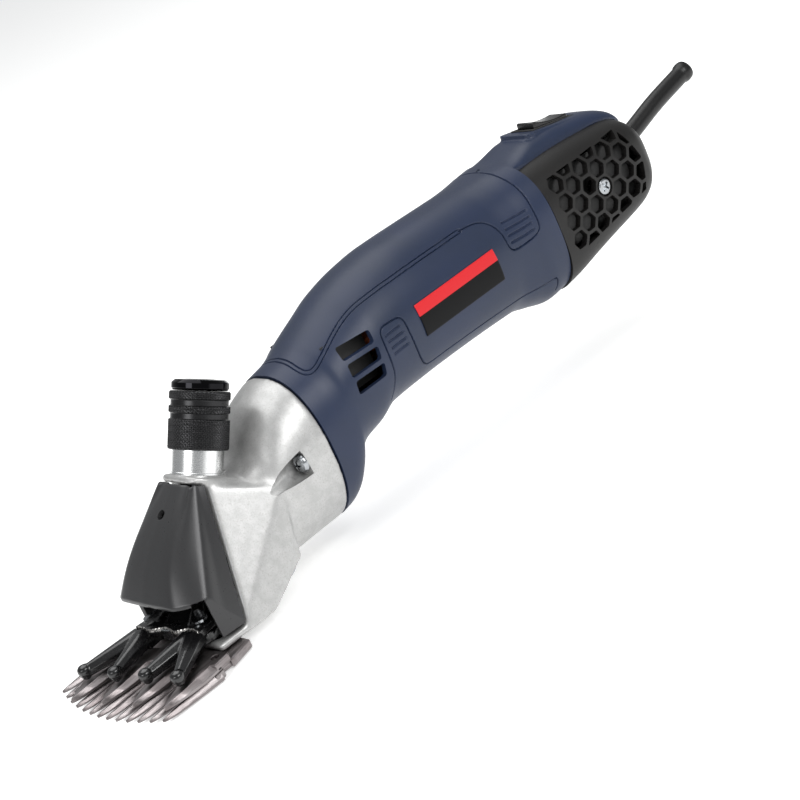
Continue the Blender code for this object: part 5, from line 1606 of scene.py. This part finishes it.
@dataclass
class TensionKnob:
    """The knurled tension knob with two polished grooves and a chamfered cap."""

    radius: float = 11.8
    length: float = 22.5
    knurls: int = 52
    knurl_depth: float = 0.42
    foot: float = 0.3
    rim: float = 10.3
    bore: float = 6.0
    web: float = 13.5
    grooves: tuple[tuple[float, float], ...] = ((16.7, 19.5), (11.6, 14.4))

    def reach(self, turn: float, height: float) -> float:
        """Gives the knurled surface's radius.

        Args:
            turn: The share of the way round.
            height: Above the knob's lower end.

        Returns:
            The radius there.
        """
        for low, high in self.grooves:
            if low < height < high:
                return self.radius - 0.7 * min(1.0, (height - low) / 0.4, (high - height) / 0.4)
        rise = height * self.knurls / (tau * self.radius)
        first, second = turn * self.knurls + rise, turn * self.knurls - rise
        peak = min(1 - abs(2 * (first % 1) - 1), 1 - abs(2 * (second % 1) - 1))
        edge = min(1.0, (height - 0.2) / 0.6, (self.length - height) / 0.6)
        return self.radius - self.knurl_depth * (1 - max(edge, 0.0) * min(peak * 1.4, 1.0))

    def build_knob(self) -> None:
        """Wraps the knurl round the barrel and closes it with its bore and top."""
        around, along = self.knurls * 6, 132
        turns = [(c / around, cos(tau * c / around), sin(tau * c / around)) for c in range(around)]
        inside = ((self.bore, self.web), (self.rim, self.web), (self.rim, self.foot))
        rings = [[(radius * a, radius * b, height) for _, a, b in turns] for radius, height in inside]
        for row in range(along + 1):
            height = self.foot + (self.length - self.foot) * row / along
            reach = [self.reach(share, height) for share, _, _ in turns]
            rings.append([(radius * a, radius * b, height) for radius, (_, a, b) in zip(reach, turns)])
        rings.append([(self.bore * a, self.bore * b, self.length) for _, a, b in turns])
        shape = skin_through(rings)
        for face in shape.faces:
            height = face.calc_center_median().z
            across = face.calc_center_median().to_2d().length
            face.material_index = int(
                across > 10.7 and any(low < height < high for low, high in self.grooves)
            )
        knob = Workpiece(
            moved(shape, Matrix.Translation(KNOB_FOOT) @ along_axis(NECK_AXIS)), "tension_knob_knurled"
        )
        knob.publish((BLACK_OXIDE, BLACK_CHROME), "knob_black", Body.KNOB, ["tension_knob"], smooth=25)

    def build_cap(self) -> None:
        """Turns the polished cap with its broad chamfer and shallow dished top."""
        profile = [
            (0, 3.9), (6.5, 3.9), (7.2, 4.2), (9.3, 4.2), (9.7, 4.1), (10.9, 3.1), (11.1, 2.8),
            (11.1, 0.9), (10.5, 0.0), (0, 0.0),
        ]
        seat = KNOB_FOOT + NECK_AXIS * (self.length + 0.3)
        cap = Workpiece(turned(profile, seat, NECK_AXIS, 96), "knob_cap_polished")
        cap.publish(BLACK_CHROME, "cap_black", Body.KNOB, ["knob_cap"], smooth=25)

    def build(self) -> None:
        """Builds knob and cap."""
        self.build_knob()
        self.build_cap()


# ---------------------------------------------------------------- motor housing


@dataclass
class MotorHousing:
    """The navy grip: pressed lines, ribbed pads, exhaust slots, the label and the switch's hood."""

    wall: float = 2.4
    vent_floor: float = 14.6
    vent_reach: float = 16.0
    vent_pitch: float = 7.0
    label_middle: tuple[float, float] = (162.0, 63.7)
    label_size: tuple[float, float] = (46.0, 13.8)
    label_thick: float = 0.35
    label_proud: float = 0.12
    stations: tuple[Station, ...] = (
        Station(79.3, 26.0, 73.5, 9.0, 2.3),
        Station(84.0, 26.2, 74.3, 10.0, 2.3),
        Station(88.0, 26.4, 75.0, 12.0, 2.28),
        Station(92.5, 26.6, 76.5, 17.5, 2.25),
        Station(96.5, 27.0, 78.3, 25.4, 2.2),
        Station(101.0, 27.2, 80.4, 28.2, 2.15),
        Station(111.0, 27.6, 84.6, 30.4, 2.1),
        Station(121.0, 28.0, 88.4, 34.2, 2.08),
        Station(135.0, 28.0, 91.5, 34.8, 2.08),
        Station(150.0, 28.0, 92.8, 35.0, 2.08),
        Station(194.0, 28.0, 91.8, 34.0, 2.1),
        Station(204.0, 28.4, 91.6, 31.6, 2.3),
        Station(212.0, 29.0, 91.8, 29.6, 2.5),
        Station(220.0, 29.0, 91.8, 30.8, 2.7),
    )
    hood: tuple[tuple[float, float, float, float], ...] = (
        (214.0, 15.5, 91.8, 86.0),
        (219.6, 15.5, 91.9, 85.9),
        (224.0, 15.5, 92.4, 85.8),
        (230.0, 15.5, 93.2, 85.6),
        (238.0, 15.5, 93.9, 85.4),
        (246.0, 15.5, 93.9, 85.2),
        (256.0, 15.5, 92.6, 84.9),
        (266.5, 15.5, 90.8, 84.6),
        (273.0, 15.2, 89.3, 83.6),
        (280.5, 14.4, 86.2, 81.1),
        (285.0, 13.2, 82.2, 77.9),
        (286.0, 12.0, 79.4, 76.9),
    )

    @cached_property
    def skin(self) -> Skin:
        """The grip's outer surface."""
        return Skin(self.stations)

    def grooves(self) -> list[Groove]:
        """Lists the pressed lines and the ribs of both pads.

        Returns:
            The grooves of one side, which the skin presses into both.
        """
        crest = (
            (88.5, 79.0), (88.4, 76.0), (87.9, 74.2), (87.2, 72.2), (87.6, 70.5), (89.0, 69.6),
            (90.9, 69.7), (94.5, 71.3), (99.4, 73.8), (106.0, 77.0), (113.0, 79.8), (121.0, 81.8),
            (130.4, 82.6), (145.0, 82.9), (160.0, 83.0), (178.0, 82.8),
        )
        shoulder = (
            (178.0, 82.8), (184.1, 82.3), (188.3, 81.1), (191.3, 78.6), (193.1, 74.7), (193.4, 70.6),
            (193.1, 67.4), (194.2, 65.0), (196.2, 64.3), (202.6, 64.2), (207.8, 64.4), (210.7, 65.9),
            (211.5, 69.1), (211.8, 73.4), (212.5, 79.0), (212.8, 84.1), (212.3, 87.8), (212.4, 91.2),
            (212.8, 91.9),
        )
        tab = (
            (115.2, 42.0), (116.6, 45.3), (118.6, 51.2), (118.6, 57.4), (118.8, 63.7), (119.6, 68.9),
            (121.5, 70.8), (126.0, 70.9), (130.5, 70.6), (131.9, 68.5), (131.8, 62.0), (132.4, 55.2),
            (133.6, 49.6), (136.0, 45.4), (140.0, 44.3), (155.0, 44.1), (184.6, 43.4), (210.2, 42.9),
            (211.6, 42.4), (212.1, 38.7), (211.4, 36.9),
        )
        lines = [Groove(crest, width=0.42, depth=0.6, spread=0.85), Groove(shoulder), Groove(tab)]
        for k in range(4):
            front = ((121.4 + 0.1 * k, 67.2 - 2.75 * k), (129.1 + 0.15 * k, 67.4 - 2.75 * k))
            rear = ((196.5 - 0.35 * k, 76.3 - 2.8 * k), (209.0 - 0.3 * k, 75.6 - 2.8 * k))
            lines += [
                Groove(front, width=0.75, depth=0.6, rounds=0),
                Groove(rear, width=0.75, depth=0.6, rounds=0),
            ]
        return lines

    def vent_cutter(self, row: int, side: Side) -> Shape:
        """Makes one slanted slot cutter with rounded corners.

        Args:
            row: Which slot it cuts, counting from the top.
            side: Which side it cuts.

        Returns:
            The closed cutter.
        """
        s = side.value
        high = 72.9 - self.vent_pitch * row
        low = high - 5.4
        shift = -0.7 * row
        quad = [(100.9, low), (115.9, low + 0.2), (116.9, high), (101.8, high)]
        shape = bmesh.new()
        shape.faces.new([shape.verts.new((y + shift, z, 0)) for y, z in quad])
        bmesh.ops.bevel(
            shape, geom=shape.verts[:], offset=1.1, segments=4, profile=0.5, affect="VERTICES", material=-1
        )
        turn = Matrix(((0, 0, s, self.vent_floor * s), (1, 0, 0, 0), (0, 1, 0, 0), (0, 0, 0, 1)))
        return moved(raised(shape, self.vent_reach), turn)

    def build_shell(self) -> None:
        """Presses, walls and slots the grip's shell."""
        shell = Workpiece(walled_skin(self.skin, self.grooves(), 132, 110, self.wall), "grip_shell_moulded")
        shell.carve(*[self.vent_cutter(row, side) for side in Side for row in range(3)])
        shell.publish(NAVY_NYLON, "navy_nylon", Body.HEAD, ["motor_housing"], smooth=38)

    def arch(self, y: float, half: float, top: float, under: float) -> list[Point]:
        """Gives one section of the hood, which starts as the grip's own crest.

        Args:
            y: Where it is.
            half: Its half width.
            top: Its crown's height.
            under: Its flat underside's height.

        Returns:
            The ring of points.
        """
        blend = smoothstep(219.5, 236.0, y)
        ring = np.array(self.skin.edge(min(y, 219.8)))
        ring = ring[np.argsort(ring[:, 0])]
        ring = ring[ring[:, 2] > 62]
        points = []
        for angle in np.linspace(0, pi, 41):
            x = half * cos(angle)
            own = float(np.interp(x, ring[:, 0], ring[:, 2])) - 0.35 * (1 - blend)
            crown = under + (top - under) * max(1 - abs(cos(angle)) ** 3.6, 0.0) ** 0.42
            points.append((x, y, own * (1 - blend) + crown * blend))
        return points + [(-half, y, under), (-half / 3, y, under), (half / 3, y, under), (half, y, under)]

    def build_hood(self) -> None:
        """Makes the strip that runs back over the covers, with a collar and a window for the switch."""
        rows = np.array(self.hood)
        ys = np.concatenate([np.linspace(214, 284, 71), np.linspace(284.4, 286, 5)])
        half, top, under = (curve_through(rows[:, 0], rows[:, i], ys) for i in (1, 2, 3))
        rings = [self.arch(*map(float, row)) for row in zip(ys, half, top, under)]
        collar = []
        for x, y, start in ((6.6, 267.6, 0), (-6.6, 267.6, 1), (-6.6, 241.6, 2), (6.6, 241.6, 3)):
            for step in range(7):
                angle = (start + step / 6) * pi / 2
                collar.append((x + 3.4 * cos(angle), y + 3.4 * sin(angle)))
        ring = plate(collar, 86.0, 95.6)
        for vert in ring.verts:
            if vert.co.z > 90:
                vert.co.z -= 0.2 * (vert.co.y - 240)
        hood = Workpiece(joined(skin_through(rings), ring), "switch_hood_moulded").softened(0.5, 5)
        hood.carve(block((-7.2, 243.8, 70.0), (7.2, 268.2, 110.0)))
        hood.publish(NAVY_NYLON, "navy_nylon", Body.HEAD, smooth=40)

    def build_label(self) -> None:
        """Lays the banded label on the grip's right side, following its curve."""
        table = self.skin.table[:, : Skin.AROUND // 2]
        shape = bmesh.new()
        bmesh.ops.create_grid(shape, x_segments=48, y_segments=16, size=0.5)
        for vert in shape.verts:
            y, z = (m + at * size for m, at, size in zip(self.label_middle, vert.co, self.label_size))
            section = table[int(np.argmin(np.abs(table[:, 0, 1] - y)))]
            x = float(np.interp(-z, -section[:, 2], section[:, 0]))
            vert.co = (x + self.label_proud, y, z)
        bmesh.ops.recalc_face_normals(shape, faces=shape.faces)
        if shape.faces[:][0].normal.x < 0:
            bmesh.ops.reverse_faces(shape, faces=shape.faces)
        label = Workpiece(shape, "label_film").apply("SOLIDIFY", thickness=self.label_thick, offset=1.0)
        label.eased(0.15, 2, 60.0).publish(LABEL_FILM, "label_face", Body.HEAD, ["label_plate"])

    def build_vent_shade_sheet(self, side: Side) -> None:
        """Makes a black sheet behind one side's exhaust slots: painted shade, so that the slots look dark
        inside.

        Args:
            side: Which side it is on.
        """
        x = 16.85 * side.value
        shade_sheet = Workpiece(block((x - 0.25, 98.0, 52.0), (x + 0.25, 118.0, 75.0)), f"vent_baffle_{side.word}")
        shade_sheet.publish(PLAIN_PLASTIC, "black_nylon", Body.HEAD)

    def build_switch(self) -> None:
        """Makes the switch's black case, whose rim slopes with the hood."""
        case = [(243.9, 72.5), (268.1, 72.5), (268.1, 90.4), (243.9, 95.4)]
        well = [(245.2, 76.0), (266.8, 76.0), (266.8, 100.0), (245.2, 100.0)]
        switch = Workpiece(chamfered(side_plate(case, 7.0), 0.4, 2), "switch_case_black")
        switch.carve(side_plate(well, 5.8)).publish(PLAIN_PLASTIC, "black_nylon", Body.HEAD, ["switch_body"])

    def build_rocker(self) -> None:
        """Makes the rocker with its dished thumb face."""
        outline = [(-10.0, 2.4), (-3.5, -0.4), (3.5, -0.4), (10.0, 1.2), (10.0, 3.4)]
        outline += [(y, 5.3 - 0.16 * y + 0.013 * y * y) for y in np.linspace(9.4, -9.2, 15)]
        outline += [(-10.0, 7.6)]
        shape = chamfered(side_plate(outline, 5.2), 0.45, 3, 40.0)
        turn = Matrix.Translation((0, 256.0, 88.5)) @ Matrix.Rotation(radians(-6), 4, "X")
        rocker = Workpiece(moved(shape, turn), "rocker_glossy")
        rocker.publish(GLOSS_PLASTIC, "gloss_black", Body.ROCKER, ["rocker"], smooth=50)

    def build(self) -> None:
        """Builds the grip's pieces."""
        self.build_shell()
        self.build_hood()
        self.build_label()
        # The black sheets behind the exhaust slots are painted shade inside the grip.
        for side in Side:
            self.build_vent_shade_sheet(side)
        self.build_switch()
        self.build_rocker()


# ---------------------------------------------------------------- rear covers


@dataclass
class RearCovers:
    """The charcoal clam halves with deep hexagonal vents and the screw that joins them."""

    wall: float = 3.0
    hex_pitch: float = 8.64
    hex_across: float = 7.2
    cell_depth: float = 14.0
    smallest_cell: float = 6.0
    screen_x: float = 22.0
    screw_y: float = 250.8
    screw_z: float = 64.0
    stations: tuple[Station, ...] = (
        Station(220.3, 29.0, 88.6, 30.9, 3.0),
        Station(228.0, 29.0, 88.5, 32.4, 3.2),
        Station(240.0, 29.0, 88.2, 35.4, 3.4),
        Station(252.0, 29.0, 87.4, 38.0, 3.5),
        Station(264.0, 29.0, 86.2, 40.2, 3.5),
        Station(272.0, 28.9, 85.0, 42.0, 3.5),
        Station(277.5, 28.2, 83.4, 44.2, 3.4),
        Station(281.5, 26.2, 81.2, 47.2, 3.2),
        Station(284.4, 22.6, 78.2, 50.6, 3.0),
        Station(285.8, 17.0, 74.5, 54.0, 2.7),
        Station(286.0, 9.0, 69.0, 57.0, 2.2),
        Station(286.0, 4.4, 66.4, 57.6, 2.0),
    )

    @cached_property
    def skin(self) -> Skin:
        """The covers' outer surface."""
        return Skin(self.stations)

    def bored(self, side: Side, ends: Sequence[float], first: float, last: float) -> Shape:
        """Makes a round cutter on the screw's axis.

        Args:
            side: Which side it is on.
            ends: How far out it starts and ends.
            first: Its radius where it starts.
            last: Its radius where it ends.

        Returns:
            The closed cutter.
        """
        start, end = ((x * side.value, self.screw_y, self.screw_z) for x in ends)
        return rod(start, end, first, last)

    def cells(self) -> list[tuple[float, float]]:
        """Lists the vents' centres, the part cells at the border among them.

        Returns:
            Their (y, z) places, leaving out the screw's.
        """
        step = self.hex_pitch * cos(pi / 6)
        found = []
        for column in range(-3, 5):
            count = 4 if column % 2 else 5
            for row in range(count):
                if column == 0 and row == 2:
                    continue
                z = self.screw_z + self.hex_pitch * ((count - 1) / 2 - row)
                found.append((self.screw_y + column * step, z))
        return found

    def cell_cutter(self, y: float, z: float, side: Side) -> Shape | None:
        """Makes one hexagonal cutter, trimmed to the pattern's slanting border.

        Args:
            y: The cell's centre.
            z: The cell's centre.
            side: Which cover it cuts.

        Returns:
            The cutter, or nothing where the border leaves none of the cell.
        """
        shape = bmesh.new()
        turn = Matrix.Translation((27.2 * side.value, y, z)) @ Matrix.Rotation(pi / 2, 4, "Y")
        r = self.hex_across / 2 / cos(pi / 6)
        bmesh.ops.create_cone(
            shape, cap_ends=True, segments=6, radius1=r, radius2=r, depth=self.cell_depth, matrix=turn
        )
        borders = (
            ((0, 250, 81.0), (0, -0.015, 1.0)),
            ((0, 250, 48.6), (0, 0.12, -1.0)),
            ((0, 275.6, 66.0), (0, 1.0, 0.36)),
            ((0, 276.2, 64.0), (0, 1.0, -0.30)),
        )
        for point, outward in borders:
            geometry = shape.verts[:] + shape.edges[:] + shape.faces[:]
            cut = bmesh.ops.bisect_plane(
                shape, geom=geometry, plane_co=point, plane_no=outward, clear_outer=True
            )
            edges = [item for item in cut["geom_cut"] if isinstance(item, bmesh.types.BMEdge)]
            if edges:
                bmesh.ops.holes_fill(shape, edges=edges, sides=0)
        size = shape.calc_volume() if shape.faces else 0.0
        if abs(size) < self.cell_depth * self.smallest_cell:
            shape.free()
            return None
        return chamfered(shape, 0.45, 2, 20.0)

    def build_cover(self, side: Side) -> None:
        """Makes one half with its vents, screw seat and guard hole.

        Args:
            side: Which side it is on.
        """
        span = (0.0005, 0.4995) if side is Side.RIGHT else (0.5005, 0.9995)
        name = f"rear_cover_{side.word}"
        cover = Workpiece(walled_skin(self.skin, [], 70, 110, self.wall, span), f"{name}_moulded")
        cover.carve(*filter(None, [self.cell_cutter(y, z, side) for y, z in self.cells()]))
        cover.carve(
            self.bored(side, (20.0, 34.0), 2.1, 2.1),
            self.bored(side, (27.4, 30.4), 3.8, 4.6),
            block((-7.3, 243.7, 68.0), (7.3, 268.3, 92.0)),
        )
        cover.eased(0.22, 1, 40.0)
        cover.publish(CHARCOAL_NYLON, "black_nylon", Body.HEAD, [name], smooth=38)

    def build_filter(self, side: Side) -> None:
        """Makes the black dust screen that stands behind one side's vents.

        Args:
            side: Which side it is on.
        """
        x = self.screen_x * side.value
        screen = Workpiece(block((x - 0.5, 226.0, 48.0), (x + 0.5, 272.0, 79.0)), f"dust_screen_{side.word}")
        screen.carve(self.bored(side, (self.screen_x - 2, self.screen_x + 2), 4.0, 4.0))
        screen.publish(GUARD_RUBBER, "black_nylon", Body.HEAD)

    def build_screw(self) -> None:
        """Makes the bright countersunk screw with its cross recess."""
        profile = [(0, 1.2), (2.6, 1.2), (3.2, 0.9), (3.4, 0.5), (3.4, 0), (1.7, 0), (1.7, -45.0), (0, -45.0)]
        screw = Workpiece(
            turned(profile, (27.95, self.screw_y, self.screw_z), (1, 0, 0), 48), "rear_screw_crossed"
        )
        place = (28.0, self.screw_y, self.screw_z)
        screw.carve(*cross_recess(place, (1, 0, 0), arm=2.2, web=0.6, depth=2.5, turn=38))
        screw.publish(BRIGHT_STEEL, "bright_steel", Body.HEAD, ["rear_cover_screw"], smooth=12)

    def build(self) -> None:
        """Builds both halves and the screw."""
        for side in Side:
            self.build_cover(side)
            self.build_filter(side)
        self.build_screw()


@dataclass
class CordGuard:
    """The moulded rubber guard: a hollow sleeve with an even curve and a rolled mouth."""

    route: tuple[Point, ...] = (
        (0, 264.0, 62.0), (0, 280.0, 62.0), (0, 290.0, 63.2), (0, 302.0, 66.1), (0, 320.0, 70.7),
        (0, 336.0, 73.7), (0, 344.0, 75.1),
    )
    radius: float = 4.1
    bore: float = 3.0
    bead: float = 4.7

    def ring(self, centre: Vector, run: Vector, radius: float) -> list[Point]:
        """Gives one round section.

        Args:
            centre: Its middle.
            run: The sleeve's direction there.
            radius: Its radius.

        Returns:
            The ring of points.
        """
        across = Vector((1, 0, 0))
        up = across.cross(run.normalized())
        turns = [tau * k / 40 for k in range(40)]
        return [tuple(centre + across * (radius * cos(a)) + up * (radius * sin(a))) for a in turns]

    def build(self) -> None:
        """Sweeps the wall out along the route, round the mouth and back inside."""
        points = np.array(self.route)
        keys = np.concatenate([[0.0], np.cumsum(np.linalg.norm(np.diff(points, axis=0), axis=1))])
        at = np.linspace(0, keys[-1], 90)
        path = np.stack([curve_through(keys, points[:, i], at) for i in range(3)], axis=1)
        runs = np.gradient(path, axis=0)
        outside, inside = [], []
        for centre, run, gone in zip(path, runs, at):
            swell = max(1 - ((keys[-1] - gone - 2.2) / 2.4) ** 2, 0.0)
            radius = self.radius + (self.bead - self.radius) * sqrt(swell) + 0.25 * max(
                0.0, 1 - (gone - 18) / 14
            )
            outside.append(self.ring(Vector(centre), Vector(run), radius))
            inside.insert(0, self.ring(Vector(centre), Vector(run), self.bore))
        rings = outside + inside + outside[:1]
        guard = Workpiece(skin_through(rings, ends=False), "cord_guard_rubber").eased(0.25, 2, 50.0)
        guard.publish(GUARD_RUBBER, "guard_rubber", Body.HEAD, ["cord_guard"], smooth=50)


# ---------------------------------------------------------------- the part's own pieces, light and floor


def both_sides(*stems: str) -> tuple[str, ...]:
    """Gives the node names of mirrored pairs, left before right."""
    return tuple(f"{stem}_{side.word}" for stem in stems for side in Side)


KEPT_NODES: dict[Finish, tuple[str, ...]] = {
    BRIGHT_STEEL: (
        *both_sides("comb_screw", "yoke_pin"),
        "fork_clip",
        "pin_cup",
        "fulcrum_post",
        "crank_shaft",
        "crank_roller",
        "driven_gear",
        "pinion",
        "oil_plug",
        "tension_sleeve",
        "tension_pin",
        "tension_spring",
        "armature_shaft",
        "crank_bearing_front",
        "crank_bearing_rear",
        "front_bearing",
        "rear_bearing",
        *both_sides("brush_spring"),
    ),
    CAST_ALLOY: ("bearing_plate",),
    LAMINATION: ("armature_core", "stator_core"),
    COPPER_WIRE: (
        "armature_winding_front",
        "armature_winding_rear",
        "commutator",
        "field_coil_front",
        "field_coil_rear",
    ),
    BRASS_STRIP: both_sides("brush_holder"),
    CARBON: both_sides("brush"),
    PLAIN_PLASTIC: ("fan", "bearing_bridge", "cord_clamp_base", "cord_clamp_bar"),
    FILM_CASE: ("capacitor",),
}


def dress_kept_nodes(nodes: dict[str, bpy.types.Object]) -> None:
    """Gives each of the part's own nodes that stays in view its material.

    Args:
        nodes: The part's nodes by name.
    """
    for finish, names in KEPT_NODES.items():
        for name in names:
            materials = nodes[name].data.materials
            if not materials:
                materials.append(finish.material())
            for index in range(len(materials)):
                materials[index] = finish.material()
            log.info("%s keeps its shape, in %s", name, finish.name)


@dataclass
class Studio:
    """A pale floor, soft boxes overhead and beside the camera, and the camera."""

    eye: Point = (0.7114, -0.3234, 0.3393)
    right: Point = (0.6111, 0.6881, -0.3914)
    back: Point = (0.7906, -0.5067, 0.3437)
    lens: float = 99.504
    target: Point = (0.0, 0.13, 0.05)

    def camera(self) -> None:
        """Places the camera and makes it the scene's own."""
        data = bpy.data.cameras.new("camera")
        data.sensor_width = 36.0
        data.lens = self.lens
        data.clip_start = 0.01
        camera = bpy.data.objects.new("camera", data)
        bpy.context.scene.collection.objects.link(camera)
        back = Vector(self.back).normalized()
        up = back.cross(Vector(self.right)).normalized()
        matrix = Matrix((up.cross(back), up, back)).transposed().to_4x4()
        matrix.translation = self.eye
        camera.matrix_world = matrix
        bpy.context.scene.camera = camera

    def lamp(self, name: str, place: Point, size: float, power: float, aim: Point | None = None) -> None:
        """Hangs one square soft box, aimed at the part unless told otherwise.

        Args:
            name: The lamp's name.
            place: Where it hangs.
            size: The length of its side.
            power: Its power in watts.
            aim: Where it points.
        """
        data = bpy.data.lights.new(name, "AREA")
        data.shape = "SQUARE"
        data.size = size
        data.energy = power
        lamp = bpy.data.objects.new(name, data)
        bpy.context.scene.collection.objects.link(lamp)
        lamp.location = place
        lamp.rotation_euler = (Vector(aim or self.target) - Vector(place)).to_track_quat("-Z", "Y").to_euler()

    def build(self) -> None:
        """Builds the floor, the world and the lamps."""
        scene = bpy.context.scene
        scene.view_settings.view_transform = "Standard"
        world = bpy.data.worlds.new("studio")
        world.use_nodes = True
        background = world.node_tree.nodes["Background"]
        background.inputs["Color"].default_value = linear("#f4f6f8")
        background.inputs["Strength"].default_value = 0.4
        scene.world = world
        shape = bmesh.new()
        bmesh.ops.create_grid(shape, x_segments=1, y_segments=1, size=4.0)
        bmesh.ops.translate(shape, vec=(0, 0, -0.0006), verts=shape.verts)
        floor = bpy.data.objects.new("floor", to_mesh(shape, "floor"))
        scene.collection.objects.link(floor)
        paper = Finish("pale_paper", "#f4f4f3", 0.9, grain_mm=20.0).make()
        glow = paper.node_tree.nodes["Principled BSDF"]
        glow.inputs["Emission Color"].default_value = linear("#ffffff")
        glow.inputs["Emission Strength"].default_value = 0.42
        floor.data.materials.append(paper)
        self.lamp("overhead_box", (-0.35, 0.25, 1.25), 1.3, 12.0)
        self.lamp("key_box", (0.95, 0.2, 0.8), 0.6, 7.5)
        self.lamp("front_box", (0.25, -0.95, 0.6), 0.5, 4.5)


def main() -> None:
    """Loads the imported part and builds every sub-assembly in order."""
    logging.basicConfig(level=logging.INFO, format="%(message)s")
    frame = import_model()
    studio = Studio()
    studio.camera()
    blades = CombAndCutter()
    blades.build()
    Fork(blades.swung()).build()
    GearHead().build()
    TensionKnob().build()
    MotorHousing().build()
    RearCovers().build()
    CordGuard().build()
    dress_kept_nodes(frame["nodes"])
    studio.build()


if __name__ == "__main__":
    main()
